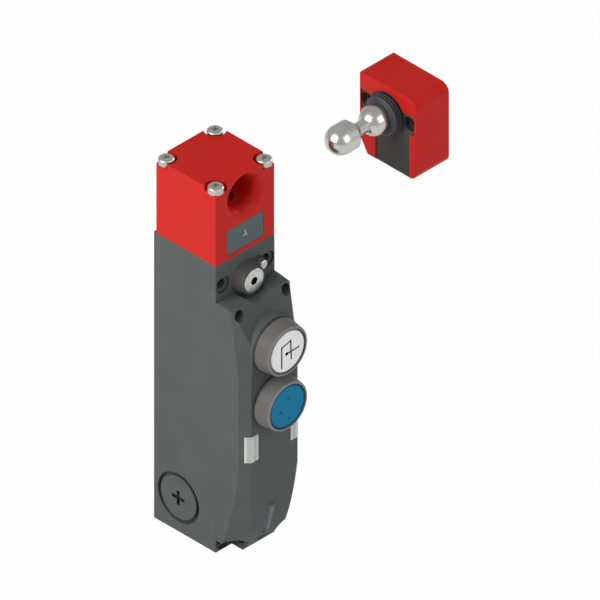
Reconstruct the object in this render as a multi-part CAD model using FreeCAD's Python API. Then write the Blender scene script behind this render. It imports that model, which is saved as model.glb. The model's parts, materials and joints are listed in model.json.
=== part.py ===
"""Tongue interlock switch: guard-locking switch body with a turnable head, and its actuator.

Millimetres. X to the right, Y to the back, Z up. The origin is the centre of the four
mounting holes on the back face, so the switch stands out towards -Y.
"""
import FreeCAD, Part
import math
import os

V = FreeCAD.Vector
X_AXIS = V(1, 0, 0)
Y_AXIS = V(0, 1, 0)
Z_AXIS = V(0, 0, 1)

# ---- body -------------------------------------------------------------------------------
BODY_WIDTH = 40.0
BODY_DEPTH = 42.0
BODY_HEIGHT = 168.0
BODY_EDGE_R = 1.2
BODY_WALL = 3.0
CAVITY_DROP = 30.5
CAVITY_RISE = 11.5
CAVITY_R = 2.0

MOUNT_SPACING_X = 30.0
MOUNT_RISE = 5.0
MOUNT_DROP = 13.0
MOUNT_HOLE_R = 2.65
MOUNT_RECESS_R = 4.7
MOUNT_RECESS_DEPTH = 1.6

SEAL_T = 1.0
SEAL_W = 1.2
SEAL_MARGIN = 0.3

# ---- cable entries -----------------------------------------------------------------------
ENTRY_R = 9.4
ENTRY_FROM_BACK = 16.7
ENTRY_RISE = 19.7
ENTRY_RECESS_R = 14.0
ENTRY_RECESS_DEPTH = 2.2
ENTRY_PAD_R = 13.0
ENTRY_PAD_DEPTH = 9.0
BOTTOM_ENTRY_FROM_BACK = 18.0
PLUG_HEAD_R = 12.1
PLUG_HEAD_T = 2.4
PLUG_SHANK_LENGTH = 6.5
PLUG_SLOT_LENGTH = 8.4
PLUG_SLOT_W = 2.0
PLUG_SLOT_DEPTH = 1.5
O_RING_T = 1.2
THREAD_GAP = 0.1

# ---- front cover -------------------------------------------------------------------------
COVER_DEPTH = 19.9
COVER_WALL = 2.5
COVER_DROP = 21.4
COVER_RISE = 1.6
COVER_CORNER_R = 4.5
COVER_LEDGE = 10.5
COVER_SLOPE_HEIGHT = 22.6
COVER_BELLY_DROP = 114.0
COVER_KNEE_RISE = 19.6
COVER_KNEE_DEPTH = 16.8
COVER_FOOT_DEPTH = 9.1
COVER_CHAMFER = 4.3
COVER_TAPER_DROP = 58.0
COVER_TAPER = 0.16
FACET_START_DROP = 94.0
FACET_START_DEPTH = 16.4
FACET_END_RISE = 12.0
FACET_END_DEPTH = 5.8
FACET_RAKE = 1.3
COVER_SCREW_X = 15.8
COVER_SCREW_DROP = 3.8
COVER_SCREW_R = 1.5
COVER_SCREW_HEAD_R = 2.75
COVER_SCREW_HEAD_T = 2.8
COVER_SCREW_SEAT = 3.2
COVER_SCREW_LENGTH = 12.0
COVER_SCREW_COLUMN_R = 4.1
RELEASE_NOTCH_GAP = 0.8
FOOT_POCKET_R = 5.5
FOOT_SLOT_W = 7.5
FOOT_SLOT_H = 1.4
FOOT_SLOT_RISE = 5.0
CHIN_RIB_TOP_RISE = 28.0
CHIN_RIB_FOOT_RISE = 9.0
CHIN_RIB_R = 2.0
CHIN_RIB_TIP_R = 0.9

# ---- push buttons -------------------------------------------------------------------------
BUTTON_DROP = 45.2
BUTTON_PITCH = 32.4
COLLAR_BASE_R = 14.5
COLLAR_RIM_R = 13.3
COLLAR_LENGTH = 8.5
COLLAR_FLOOR = 0.8
COLLAR_LIP = 0.5
COLLAR_SPIGOT_R = 9.0
COLLAR_SPIGOT_LENGTH = 6.0
COLLAR_NUT_R = 11.5
COLLAR_NUT_T = 2.6
GASKET_R = 14.9
GASKET_T = 0.8
PLATFORM_R = 15.2
BUTTON_GAP = 0.3
BUTTON_CAP_R = 11.8
BUTTON_CAP_T = 4.2
BUTTON_DISC_T = 0.8
BUTTON_INSET = 0.35
BUTTON_RIM_W = 0.7
BUTTON_STEM_R = 3.2
BUTTON_TRAVEL = 2.5
SPRING_WIRE_R = 0.5
SPRING_SEAT_GAP = 0.05
SPRING_SIDES = 16
CONTACT_W = 18.0
CONTACT_H = 17.0
CONTACT_T = 9.0
CONTACT_GAP = 0.6

# ---- indicator windows --------------------------------------------------------------------
WINDOW_DROP = 92.5
WINDOW_HEIGHT = 15.0
WINDOW_OUTER_INSET = 1.9
WINDOW_INNER_INSET = 9.0
WINDOW_GAP = 0.06
WINDOW_PROUD = 0.25

# ---- auxiliary release ----------------------------------------------------------------------
RELEASE_DROP = 15.0
RELEASE_BASE_R = 9.3
RELEASE_FRONT_R = 7.4
RELEASE_LENGTH = 6.0
RELEASE_DISC_R = 6.5
RELEASE_DISC_T = 1.8
RELEASE_PROUD = 0.3
RELEASE_SHAFT_R = 3.0
RELEASE_KEY_ACROSS = 4.0
RELEASE_KEY_DEPTH = 4.0
RELEASE_CAM_R = 4.8
RELEASE_CAM_T = 1.6
RELEASE_PIN_R = 1.2
RELEASE_PIN_THROW = 3.4
RELEASE_PIN_LENGTH = 2.4
RELEASE_SPIGOT_R = 4.6
SEAL_SCREW_X = 8.6
SEAL_SCREW_RISE = 4.0
SEAL_SCREW_R = 1.5
SEAL_SCREW_HEAD_R = 2.4
SEAL_SCREW_HEAD_T = 2.2
SEAL_SCREW_EAR_R = 3.1
SEAL_SCREW_EAR_T = 2.2
SEAL_SCREW_LENGTH = 5.8
RUNNING_GAP = 0.05

# ---- head --------------------------------------------------------------------------------------
HEAD_HEIGHT = 44.0
HEAD_SETBACK = 1.5
HEAD_EDGE_R = 1.8
HEAD_SCREW_INSET = 3.5
HEAD_POCKET_R = 5.5
HEAD_POCKET_DEPTH = 3.0
HEAD_SCREW_HEAD_R = 4.0
HEAD_SCREW_HEAD_T = 3.2
HEAD_SCREW_R = 2.4
HEAD_SCREW_LENGTH = 49.0
HEAD_SCREW_SOCKET = 3.2
SCREW_GAP = 0.2
BORE_DROP = 11.5
BORE_R = 8.5
FUNNEL_R = 13.0
FUNNEL_DEPTH = 6.3
SLEEVE_WALL = 1.5
HEAD_CHAMBER_X = 9.5
HEAD_CHAMBER_FRONT = 5.5
HEAD_CHAMBER_BACK = 6.0
HEAD_CHAMBER_ROOF = 5.0
HEAD_PLATE_W = 25.0
HEAD_PLATE_H = 14.7
HEAD_PLATE_RISE = 2.4
HEAD_PLATE_T = 1.6
HEAD_PLATE_GAP = 0.15
HEAD_PLATE_R = 0.8
FERRITE_T = 2.4
READER_COIL_T = 1.2
READER_COIL_W = 2.0
READER_COIL_MARGIN = 1.5
READER_RISE = 4.0

# ---- lock ---------------------------------------------------------------------------------------
BOLT_FROM_FRONT = 15.0
BOLT_R = 5.0
BOLT_TRAVEL = 5.0
BOLT_BELOW_BORE = 0.8
BOLT_FOOT_DROP = 17.0
BOLT_SHELF_DROP = 13.0
BOLT_SHELF_T = 3.0
BOLT_SHELF_W = 6.0
BOLT_SHELF_REACH = 3.4
BOLT_COLLAR_R = 7.0
BUSH_R = 7.5
BUSH_RECESS = 1.0
BUSH_FLANGE_R = 8.4
BUSH_FLANGE_T = 1.5
LOCK_CHAMBER_HALF = 9.0
LOCK_CHAMBER_RISE = 5.0
LOCK_WALL = 4.0
LOCK_CHAMBER_LENGTH = 21.0

COIL_DROP = 38.0
COIL_LENGTH = 38.0
COIL_R = 11.0
COIL_FLANGE_T = 2.0
COIL_FLANGE_R = 11.8
PLUNGER_R = 4.2
BOBBIN_R = 5.6
PLUNGER_RISE = 8.0
YOKE_T = 2.0
YOKE_W = 20.0
YOKE_FOOT_T = 3.0

# ---- electronics -----------------------------------------------------------------------------------
BOARD_T = 1.6
BOARD_W = 31.0
BOARD_BELOW_COIL = 9.0
BOARD_RISE = 34.0
BOARD_FROM_BACK = 10.0
STANDOFF_R = 2.6
TERMINAL_W = 28.0
TERMINAL_H = 10.0
TERMINAL_T = 12.0
TERMINAL_WAYS = 6
TERMINAL_RISE = 6.0
TERMINAL_SCREW_R = 1.5
TERMINAL_SCREW_T = 0.8
TERMINAL_HOLE_R = 1.3
RELAY_W = 12.0
RELAY_H = 14.0
RELAY_T = 11.0

# ---- actuator ---------------------------------------------------------------------------------------
PIN_TIP_X = 64.85
PIN_Y = -41.95
PIN_R = 7.8
PIN_CYLINDER = 6.0
PIN_NECK_R = 3.5
PIN_NECK_AT = 10.5
PIN_BALL_AT = 23.0
PIN_STEM_R = 3.4
PIN_NUT_R = 6.6
PIN_NUT_T = 4.5
PIN_STEM_PROUD = 1.5
BLOCK_FACE_AT = 31.85
BLOCK_T = 22.5
BLOCK_DEPTH = 38.5
BLOCK_TOP_RISE = 14.9
BLOCK_HEIGHT = 46.4
BLOCK_FRONT_R = 5.0
BLOCK_CHAMFER_Y = 5.3
BLOCK_CHAMFER_Z = 8.8
BLOCK_EDGE_R = 0.8
BLOCK_WALL = 2.4
BAND_HEIGHT = 11.0
BAND_END_WALL = 1.0
STEM_WIDTH = 23.0
STEM_SHIFT = 3.3
BAND_SINK = 0.6
FACE_SKIN = 4.0
CORE_GAP = 0.1
FIXING_SPACING = 29.0
FIXING_R = 2.65
FIXING_HEAD_R = 3.9
FIXING_HEAD_DEPTH = 3.0
BOOT_R = 10.6
BOOT_LENGTH = 5.8
BOOT_RIB_DEPTH = 0.7
BOOT_FLANGE_R = 11.6
BOOT_FLANGE_T = 1.5
PIN_SWING = 5.0
SWING_CLEARANCE = 0.4
SEAT_R = 15.3
BACKPLATE_T = 2.5
TAG_W = 5.0
TAG_T = 1.2
PLATE_SCREW_R = 1.4
PLATE_SCREW_HEAD_R = 2.5
PLATE_SCREW_LENGTH = 8.0

# ---- places worked out from the sizes -----------------------------------------------------------------
HALF = BODY_WIDTH / 2
FRONT = -BODY_DEPTH
MOUNT_SPACING_Z = BODY_HEIGHT - MOUNT_RISE - MOUNT_DROP
BODY_BOTTOM = -MOUNT_SPACING_Z / 2 - MOUNT_RISE
BODY_TOP = BODY_BOTTOM + BODY_HEIGHT
CAVITY_TOP = BODY_TOP - CAVITY_DROP
CAVITY_FLOOR = BODY_BOTTOM + CAVITY_RISE
HEAD_TOP = BODY_TOP + HEAD_HEIGHT
HEAD_BACK = -HEAD_SETBACK
BORE_Z = HEAD_TOP - BORE_DROP
SLEEVE_R = BORE_R + SLEEVE_WALL
CAVITY_X = HALF - BODY_WALL
COVER_FRONT = FRONT - COVER_DEPTH
COVER_TOP = BODY_TOP - COVER_DROP
COVER_BOTTOM = BODY_BOTTOM + COVER_RISE
COVER_SLOPE_END = COVER_TOP - COVER_SLOPE_HEIGHT
COVER_BELLY_START = BODY_TOP - COVER_BELLY_DROP
COVER_KNEE_Z = BODY_BOTTOM + COVER_KNEE_RISE
COVER_TAPER_START = BODY_TOP - COVER_TAPER_DROP
FACET_START = BODY_TOP - FACET_START_DROP
FACET_END = BODY_BOTTOM + FACET_END_RISE
COVER_SCREW_Z = COVER_TOP - COVER_SCREW_DROP
FOOT_SLOT_Z = BODY_BOTTOM + FOOT_SLOT_RISE
CHIN_RIB_TOP = BODY_BOTTOM + CHIN_RIB_TOP_RISE
CHIN_RIB_FOOT = BODY_BOTTOM + CHIN_RIB_FOOT_RISE
WINDOW_TOP = BODY_TOP - WINDOW_DROP
ENTRY_Y = -ENTRY_FROM_BACK
BOTTOM_ENTRY_Y = -BOTTOM_ENTRY_FROM_BACK
ENTRY_Z = BODY_BOTTOM + ENTRY_RISE
BUTTON_ZS = (BODY_TOP - BUTTON_DROP, BODY_TOP - BUTTON_DROP - BUTTON_PITCH)
COLLAR_BASE_Y = COVER_FRONT - GASKET_T
COLLAR_RIM_Y = COLLAR_BASE_Y - COLLAR_LENGTH
RELEASE_Z = BODY_TOP - RELEASE_DROP
SEAL_SCREW_Z = RELEASE_Z + SEAL_SCREW_RISE
LOCK_CHAMBER_TOP = RELEASE_Z + LOCK_CHAMBER_RISE
LOCK_CHAMBER_FRONT = FRONT + LOCK_WALL
BUSH_LENGTH = BODY_TOP - LOCK_CHAMBER_TOP - BUSH_RECESS
LOCK_CHAMBER_BACK = LOCK_CHAMBER_FRONT + LOCK_CHAMBER_LENGTH
BOLT_Y = FRONT + BOLT_FROM_FRONT
BOLT_FOOT_Z = RELEASE_Z - BOLT_FOOT_DROP
BOLT_SHELF_Z = RELEASE_Z - BOLT_SHELF_DROP
COIL_TOP = BODY_TOP - COIL_DROP
COIL_BOTTOM = COIL_TOP - COIL_LENGTH
PLUNGER_FOOT_Z = COIL_BOTTOM + PLUNGER_RISE
BOARD_TOP = COIL_BOTTOM - BOARD_BELOW_COIL
BOARD_BOTTOM = BODY_BOTTOM + BOARD_RISE
HEAD_SCREW_PLACES = [
    V(side * (HALF - HEAD_SCREW_INSET), y, HEAD_TOP - HEAD_POCKET_DEPTH)
    for side in (-1, 1)
    for y in (FRONT + HEAD_SCREW_INSET, HEAD_BACK - HEAD_SCREW_INSET)
]
BOLT_TOP = BORE_Z - BORE_R - BOLT_BELOW_BORE
HEAD_CHAMBER_TOP = BORE_Z - SLEEVE_R - HEAD_CHAMBER_ROOF / 2
BLOCK_X = PIN_TIP_X + BLOCK_FACE_AT
BLOCK_END_X = BLOCK_X + BLOCK_T
PIVOT_X = PIN_TIP_X + PIN_BALL_AT
BLOCK_TOP = BORE_Z + BLOCK_TOP_RISE
BLOCK_BOTTOM = BLOCK_TOP - BLOCK_HEIGHT
WIRE_SECTION = [(math.cos(math.radians(60 * k)), math.sin(math.radians(60 * k))) for k in range(6)]


# ---- helpers --------------------------------------------------------------------------------------------
def box(x0, x1, y0, y1, z0, z1):
    return Part.makeBox(x1 - x0, y1 - y0, z1 - z0, V(x0, y0, z0))


def rod(radius, length, base, axis):
    return Part.makeCylinder(radius, length, base, axis)


def face_of(points):
    return Part.Face(Part.makePolygon(list(points) + [points[0]]))


def fuse(shapes):
    first = shapes[0]
    return first.multiFuse(shapes[1:]).removeSplitter() if len(shapes) > 1 else first


def mirrored(shape):
    return shape.mirror(V(0, 0, 0), X_AXIS)


def both_sides(shape):
    return [shape, mirrored(shape)]


def is_straight_along(edge, axis):
    if not isinstance(edge.Curve, Part.Line):
        return False
    return abs(abs(edge.Curve.Direction.dot(axis)) - 1) < 1e-6


def rounded(shape, radius, wanted):
    return shape.makeFillet(radius, [e for e in shape.Edges if wanted(e)])


def chamfered(shape, size, wanted):
    return shape.makeChamfer(size, [e for e in shape.Edges if wanted(e)])


def spun(profile, base, axis):
    """Solid of revolution of (along, radius) points about an axis."""
    side = Z_AXIS if abs(axis.z) < 0.5 else X_AXIS
    points = [base + axis * along + side * radius for along, radius in profile]
    return face_of(points).revolve(base, axis, 360)


def hexagon_prism(across_flats, length, base, axis):
    corner = across_flats / math.sqrt(3)
    side = X_AXIS if abs(axis.x) < 0.5 else Y_AXIS
    other = axis.cross(side)
    turns = [math.radians(60 * k) for k in range(6)]
    points = [base + side * (corner * math.cos(t)) + other * (corner * math.sin(t)) for t in turns]
    return face_of(points).extrude(axis * length)


def stadium(radius, z_low, z_high, y_start, y_end):
    """Rounded-end pad that stands along Z, extruded along Y."""
    length = y_end - y_start
    low = rod(radius, length, V(0, y_start, z_low), Y_AXIS)
    high = rod(radius, length, V(0, y_start, z_high), Y_AXIS)
    return fuse([low, high, box(-radius, radius, y_start, y_end, z_low, z_high)])


def ring_frame(x_out, z_low, z_high, width, y_front, thickness):
    outer = box(-x_out, x_out, y_front, y_front + thickness, z_low, z_high)
    outer = rounded(outer, CAVITY_R + width, lambda e: is_straight_along(e, Y_AXIS))
    inner = box(-x_out + width, x_out - width, y_front, y_front + thickness, z_low + width, z_high - width)
    inner = rounded(inner, CAVITY_R, lambda e: is_straight_along(e, Y_AXIS))
    return outer.cut(inner)


def coil_spring(radius, turns, length, base, axis):
    """Compression spring between two seats: straight runs of wire that follow a helix."""
    end_room = SPRING_WIRE_R + SPRING_SEAT_GAP
    rise = length - 2 * end_room
    count = turns * SPRING_SIDES
    points = []
    for k in range(count + 1):
        angle = 2 * math.pi * k / SPRING_SIDES
        height = end_room + rise * k / count
        points.append(V(radius * math.cos(angle), radius * math.sin(angle), height))
    heading = (points[1] - points[0]).normalize()
    across = heading.cross(Z_AXIS).normalize()
    up = across.cross(heading)
    corners = [points[0] + across * (SPRING_WIRE_R * c) + up * (SPRING_WIRE_R * s) for c, s in WIRE_SECTION]
    section = Part.makePolygon(corners + [corners[0]])
    spring = Part.makePolygon(points).makePipeShell([section], True, False, 1)
    spring.Placement = FreeCAD.Placement(base, FreeCAD.Rotation(Z_AXIS, axis))
    return spring


# ---- housing ------------------------------------------------------------------------------------------------
def seal_bounds():
    """Outer half width, low and high edge of the seal round the cavity."""
    grow = SEAL_MARGIN + SEAL_W
    return CAVITY_X + grow, CAVITY_FLOOR - grow, CAVITY_TOP + grow


def mount_holes(recess):
    """Through holes of the mounting pattern, with or without the recesses for the screw heads."""
    cutters = []
    for x in (-MOUNT_SPACING_X / 2, MOUNT_SPACING_X / 2):
        for z in (-MOUNT_SPACING_Z / 2, MOUNT_SPACING_Z / 2):
            cutters.append(rod(MOUNT_HOLE_R, BODY_DEPTH, V(x, FRONT, z), Y_AXIS))
            if recess:
                cutters.append(rod(MOUNT_RECESS_R, MOUNT_RECESS_DEPTH, V(x, FRONT, z), Y_AXIS))
    return cutters


def side_entry_cut():
    hole = rod(ENTRY_R, ENTRY_PAD_DEPTH, V(-HALF, ENTRY_Y, ENTRY_Z), X_AXIS)
    recess = rod(ENTRY_RECESS_R, ENTRY_RECESS_DEPTH, V(-HALF, ENTRY_Y, ENTRY_Z), X_AXIS)
    return hole.fuse(recess)


def make_housing():
    body = box(-HALF, HALF, FRONT, 0, BODY_BOTTOM, BODY_TOP)
    body = rounded(body, BODY_EDGE_R, lambda e: is_straight_along(e, Z_AXIS))
    cavity = box(-CAVITY_X, CAVITY_X, FRONT, -BODY_WALL, CAVITY_FLOOR, CAVITY_TOP)
    cavity = rounded(cavity, CAVITY_R, lambda e: is_straight_along(e, Y_AXIS))
    pad = rod(ENTRY_PAD_R, ENTRY_PAD_DEPTH, V(-HALF, ENTRY_Y, ENTRY_Z), X_AXIS)
    cavity = cavity.cut(fuse(both_sides(pad)))
    half_chamber = LOCK_CHAMBER_HALF
    chamber = box(-half_chamber, half_chamber, LOCK_CHAMBER_FRONT, LOCK_CHAMBER_BACK, CAVITY_TOP, LOCK_CHAMBER_TOP)
    x_out, z_low, z_high = seal_bounds()
    groove = ring_frame(x_out, z_low, z_high, SEAL_W, FRONT, SEAL_T)
    head_groove = head_seal_ring()
    bottom_entry = rod(ENTRY_R, CAVITY_FLOOR - BODY_BOTTOM, V(0, BOTTOM_ENTRY_Y, BODY_BOTTOM), Z_AXIS)
    cuts = [cavity, chamber, groove, head_groove, bottom_entry] + mount_holes(True)
    cuts += both_sides(side_entry_cut())
    cuts.append(rod(BUSH_R, BODY_TOP - LOCK_CHAMBER_TOP, V(0, BOLT_Y, LOCK_CHAMBER_TOP), Z_AXIS))
    cuts.append(rod(BUSH_FLANGE_R, BUSH_FLANGE_T, V(0, BOLT_Y, BODY_TOP - BUSH_FLANGE_T), Z_AXIS))
    cuts.append(rod(RELEASE_SPIGOT_R, LOCK_CHAMBER_FRONT - FRONT, V(0, FRONT, RELEASE_Z), Y_AXIS))
    cuts.append(rod(SEAL_SCREW_R, SEAL_SCREW_LENGTH - SEAL_SCREW_EAR_T, V(SEAL_SCREW_X, FRONT, SEAL_SCREW_Z), Y_AXIS))
    for place in HEAD_SCREW_PLACES:
        depth = HEAD_SCREW_LENGTH - (place.z - BODY_TOP)
        cuts.append(rod(HEAD_SCREW_R, depth + SCREW_GAP, V(place.x, place.y, BODY_TOP), -Z_AXIS))
    for side in (-1, 1):
        depth = COVER_SCREW_LENGTH - COVER_SCREW_SEAT
        start = V(side * COVER_SCREW_X, FRONT, COVER_SCREW_Z)
        cuts.append(rod(COVER_SCREW_R, depth + SCREW_GAP, start, Y_AXIS))
    body = body.cut(cuts)
    posts = [standoff(x, z) for x in (-1, 1) for z in (BOARD_TOP, BOARD_BOTTOM)]
    return body.fuse(posts + [yoke_shelf()])


def standoff(side, z):
    """Post on the back wall that carries one corner of the circuit board."""
    inset = STANDOFF_R + 0.6
    x = side * (BOARD_W / 2 - inset)
    z_post = z - inset if z == BOARD_TOP else z + inset
    return rod(STANDOFF_R, BOARD_FROM_BACK - BODY_WALL, V(x, -BOARD_FROM_BACK, z_post), Y_AXIS)


def yoke_shelf():
    """Bracket cast on the back wall that the solenoid yoke is screwed to."""
    return box(-YOKE_W / 2, YOKE_W / 2, BOLT_Y + COIL_FLANGE_R + YOKE_T, -BODY_WALL, COIL_BOTTOM, COIL_TOP)


def make_cover_seal():
    x_out, z_low, z_high = seal_bounds()
    return ring_frame(x_out, z_low, z_high, SEAL_W, FRONT, SEAL_T)


# ---- front cover ---------------------------------------------------------------------------------------------
def tangent_arc(start, heading, end):
    """Arc in the YZ plane that leaves start along heading (unit vector) and reaches end."""
    chord = end - start
    normal = V(0, -heading.z, heading.y)
    offset = chord.dot(normal)
    radius = chord.dot(chord) / (2 * offset)
    centre = start + normal * radius
    half_way = (start + end) * 0.5 - centre
    middle = centre + half_way.normalize() * abs(radius)
    return Part.Arc(start, middle, end).toShape(), centre


def cover_profile(extra_back):
    """Side outline of the cover: ledge, slope, front, belly curve and foot."""
    back = FRONT + extra_back
    top_back = V(0, back, COVER_TOP)
    ledge = V(0, FRONT - COVER_LEDGE, COVER_TOP)
    slope_end = V(0, COVER_FRONT, COVER_SLOPE_END)
    belly = V(0, COVER_FRONT, COVER_BELLY_START)
    knee = V(0, FRONT - COVER_KNEE_DEPTH, COVER_KNEE_Z)
    foot = V(0, FRONT - COVER_FOOT_DEPTH, COVER_BOTTOM)
    foot_back = V(0, back, COVER_BOTTOM)
    belly_arc, centre = tangent_arc(belly, V(0, 0, -1), knee)
    radial = knee - centre
    heading = V(0, -radial.z, radial.y).normalize()
    if heading.z > 0:
        heading = heading * -1
    foot_arc, _ = tangent_arc(knee, heading, foot)
    lines = [
        Part.makeLine(top_back, ledge),
        Part.makeLine(ledge, slope_end),
        Part.makeLine(slope_end, belly),
        belly_arc,
        foot_arc,
        Part.makeLine(foot, foot_back),
        Part.makeLine(foot_back, top_back),
    ]
    return Part.Face(Part.Wire(lines))


def chamfer_cutter(inset):
    """Everything beyond the right-hand 45 degree chamfer, which leans back above the buttons."""
    reach = 30.0
    start = V(HALF, COVER_FRONT + COVER_CHAMFER + inset * math.sqrt(2), COVER_BOTTOM - 1)
    along = V(1, 1, 0) * reach
    outward = V(1, -1, 0) * reach
    section = face_of([start + along, start - along, start + outward * 2])
    height = COVER_TAPER_START - start.z
    lower = section.extrude(Z_AXIS * height)
    section.translate(Z_AXIS * height)
    rise = COVER_TOP - COVER_TAPER_START + 2
    upper = section.extrude(V(0, COVER_TAPER * rise, rise))
    return lower.fuse(upper)


def facet_cutter(inset):
    """Raked, curved facet that takes the lower right corner off the cover."""
    start = V(HALF, FRONT - FACET_START_DEPTH, FACET_START)
    end = V(HALF, FRONT - FACET_END_DEPTH, FACET_END)
    drop = FACET_START - FACET_END
    radius = (drop ** 2 + (end.y - start.y) ** 2) / (2 * (end.y - start.y))
    reach = FACET_START - COVER_BOTTOM + 4

    def at(down):
        return V(HALF, start.y + radius - math.sqrt(radius ** 2 - down ** 2), FACET_START - down)

    last = at(reach)
    arc = Part.Arc(start, at(reach / 2), last).toShape()
    far_low = V(HALF, start.y - 20, last.z)
    far_high = V(HALF, start.y - 20, FACET_START)
    outline = [
        arc,
        Part.makeLine(last, far_low),
        Part.makeLine(far_low, far_high),
        Part.makeLine(far_high, start),
    ]
    rake = V(-1, -FACET_RAKE, 0) * HALF
    cutter = Part.Face(Part.Wire(outline)).extrude(rake)
    inward = V(-FACET_RAKE, 1, 0).normalize()
    cutter.translate(inward * inset)
    return cutter


def cover_form(inset):
    """The cover's outer form, or the same form drawn in by inset for its hollow."""
    face = cover_profile(inset + 1.0 if inset else 0.0)
    if inset:
        face = face.makeOffset2D(-inset, join=2)
    half = HALF - inset
    face.translate(V(-half, 0, 0))
    form = face.extrude(V(2 * half, 0, 0))
    crown = COVER_TOP - inset - 0.01
    corner_r = COVER_CORNER_R - inset
    form = rounded(form, corner_r, lambda e: is_straight_along(e, Y_AXIS) and e.BoundBox.ZMin > crown)
    cutters = both_sides(chamfer_cutter(inset)) + both_sides(facet_cutter(inset))
    return form.cut(cutters)


def button_platform(depth_back):
    return stadium(PLATFORM_R, BUTTON_ZS[1], BUTTON_ZS[0], COVER_FRONT, COVER_FRONT + depth_back)


def window_space(gap):
    """Space of the left-hand and right-hand indicator windows."""
    z_high = WINDOW_TOP + gap
    z_low = WINDOW_TOP - WINDOW_HEIGHT - gap
    x_out = HALF - WINDOW_OUTER_INSET + gap
    x_in = HALF - WINDOW_INNER_INSET - gap
    return box(x_in, x_out, COVER_FRONT - 1, COVER_FRONT + COVER_CHAMFER + COVER_WALL, z_low, z_high)


def cover_screw_column(side):
    start = V(side * COVER_SCREW_X, FRONT - COVER_LEDGE, COVER_SCREW_Z)
    return rod(COVER_SCREW_COLUMN_R, COVER_LEDGE, start, Y_AXIS)


def make_front_cover():
    outer = cover_form(0)
    hollow = cover_form(COVER_WALL)
    platform = button_platform(COVER_DEPTH - COVER_LEDGE)
    platform_hollow = stadium(
        PLATFORM_R - COVER_WALL,
        BUTTON_ZS[1],
        BUTTON_ZS[0],
        COVER_FRONT + COVER_WALL,
        COVER_FRONT + COVER_DEPTH - COVER_LEDGE + COVER_WALL,
    )
    cover = fuse([outer, platform]).cut([hollow, platform_hollow])
    notch_r = RELEASE_BASE_R + RELEASE_NOTCH_GAP
    notch = V(0, FRONT, RELEASE_Z)
    notch_wall = rod(notch_r + COVER_WALL, COVER_DEPTH, notch, -Y_AXIS)
    inner = [cover_screw_column(side) for side in (-1, 1)] + [notch_wall]
    cover = cover.fuse([piece.common(outer) for piece in inner] + [chin_rib()])
    cuts = both_sides(window_space(WINDOW_GAP))
    for side in (-1, 1):
        seat = V(side * COVER_SCREW_X, FRONT - COVER_SCREW_SEAT, COVER_SCREW_Z)
        cuts.append(rod(COVER_SCREW_HEAD_R + SCREW_GAP, COVER_DEPTH, seat, -Y_AXIS))
        cuts.append(rod(COVER_SCREW_R + SCREW_GAP, COVER_SCREW_SEAT, seat, Y_AXIS))
        foot = V(side * MOUNT_SPACING_X / 2, FRONT, -MOUNT_SPACING_Z / 2)
        cuts.append(rod(FOOT_POCKET_R, COVER_DEPTH + 1, foot, -Y_AXIS))
        xs = sorted((foot.x, side * (HALF + 1)))
        cuts.append(box(xs[0], xs[1], COVER_FRONT - 1, FRONT, COVER_BOTTOM - 1, foot.z))
    for z in BUTTON_ZS:
        cuts.append(rod(COLLAR_SPIGOT_R + SCREW_GAP, 2 * COVER_WALL, V(0, COVER_FRONT - 1, z), Y_AXIS))
    cuts.append(Part.makeCone(notch_r, RELEASE_BASE_R, COVER_DEPTH, notch, -Y_AXIS))
    slot_y = FRONT - COVER_KNEE_DEPTH
    half_slot = FOOT_SLOT_W / 2
    slot_z = FOOT_SLOT_Z + FOOT_SLOT_H
    cuts.append(box(-half_slot, half_slot, slot_y, FRONT - COVER_LEDGE + 2, FOOT_SLOT_Z, slot_z))
    return cover.cut(cuts)


def chin_rib():
    """Small tapered rib that runs down the middle of the chin."""
    top = V(0, FRONT - COVER_KNEE_DEPTH - 0.9, CHIN_RIB_TOP)
    foot = V(0, FRONT - COVER_KNEE_DEPTH + 3.0, CHIN_RIB_FOOT)
    axis = foot - top
    length = axis.Length
    return Part.makeCone(CHIN_RIB_R, CHIN_RIB_TIP_R, length, top, axis)


def make_cover_screw(side):
    seat = V(side * COVER_SCREW_X, FRONT - COVER_SCREW_SEAT, COVER_SCREW_Z)
    head = rod(COVER_SCREW_HEAD_R, COVER_SCREW_HEAD_T, seat, -Y_AXIS)
    shank = rod(COVER_SCREW_R - SCREW_GAP / 4, COVER_SCREW_LENGTH, seat, Y_AXIS)
    top = seat - Y_AXIS * COVER_SCREW_HEAD_T
    socket = hexagon_prism(COVER_SCREW_HEAD_R, COVER_SCREW_HEAD_T / 2, top, Y_AXIS)
    return head.fuse(shank).cut(socket)


def make_window(side):
    skin = cover_form(-WINDOW_PROUD) if WINDOW_PROUD else cover_form(0)
    window = skin.cut(cover_form(COVER_WALL)).common(window_space(0))
    return window if side > 0 else mirrored(window)


# ---- push buttons -----------------------------------------------------------------------------------------------
def make_collar(z):
    """Conical collar with a threaded spigot that passes through the cover."""
    base = V(0, COLLAR_BASE_Y, z)
    cone = Part.makeCone(COLLAR_BASE_R, COLLAR_RIM_R, COLLAR_LENGTH, base, -Y_AXIS)
    cone = chamfered(cone, COLLAR_LIP, lambda e: abs(e.BoundBox.YMin - COLLAR_RIM_Y) < 0.01)
    spigot = rod(COLLAR_SPIGOT_R, COLLAR_SPIGOT_LENGTH + GASKET_T, base, Y_AXIS)
    well_r = BUTTON_CAP_R + BUTTON_GAP
    floor_y = COLLAR_BASE_Y - COLLAR_FLOOR
    well = rod(well_r, COLLAR_LENGTH, V(0, floor_y, z), -Y_AXIS)
    bore = rod(
        BUTTON_STEM_R + RUNNING_GAP, COLLAR_LENGTH + COLLAR_SPIGOT_LENGTH, V(0, floor_y, z), Y_AXIS
    )
    return cone.fuse(spigot).cut([well, bore])


def make_collar_gasket(z):
    """Flat rubber ring between the collar and the cover."""
    base = V(0, COLLAR_BASE_Y, z)
    return rod(GASKET_R, GASKET_T, base, Y_AXIS).cut(rod(COLLAR_SPIGOT_R + THREAD_GAP, GASKET_T, base, Y_AXIS))


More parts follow.
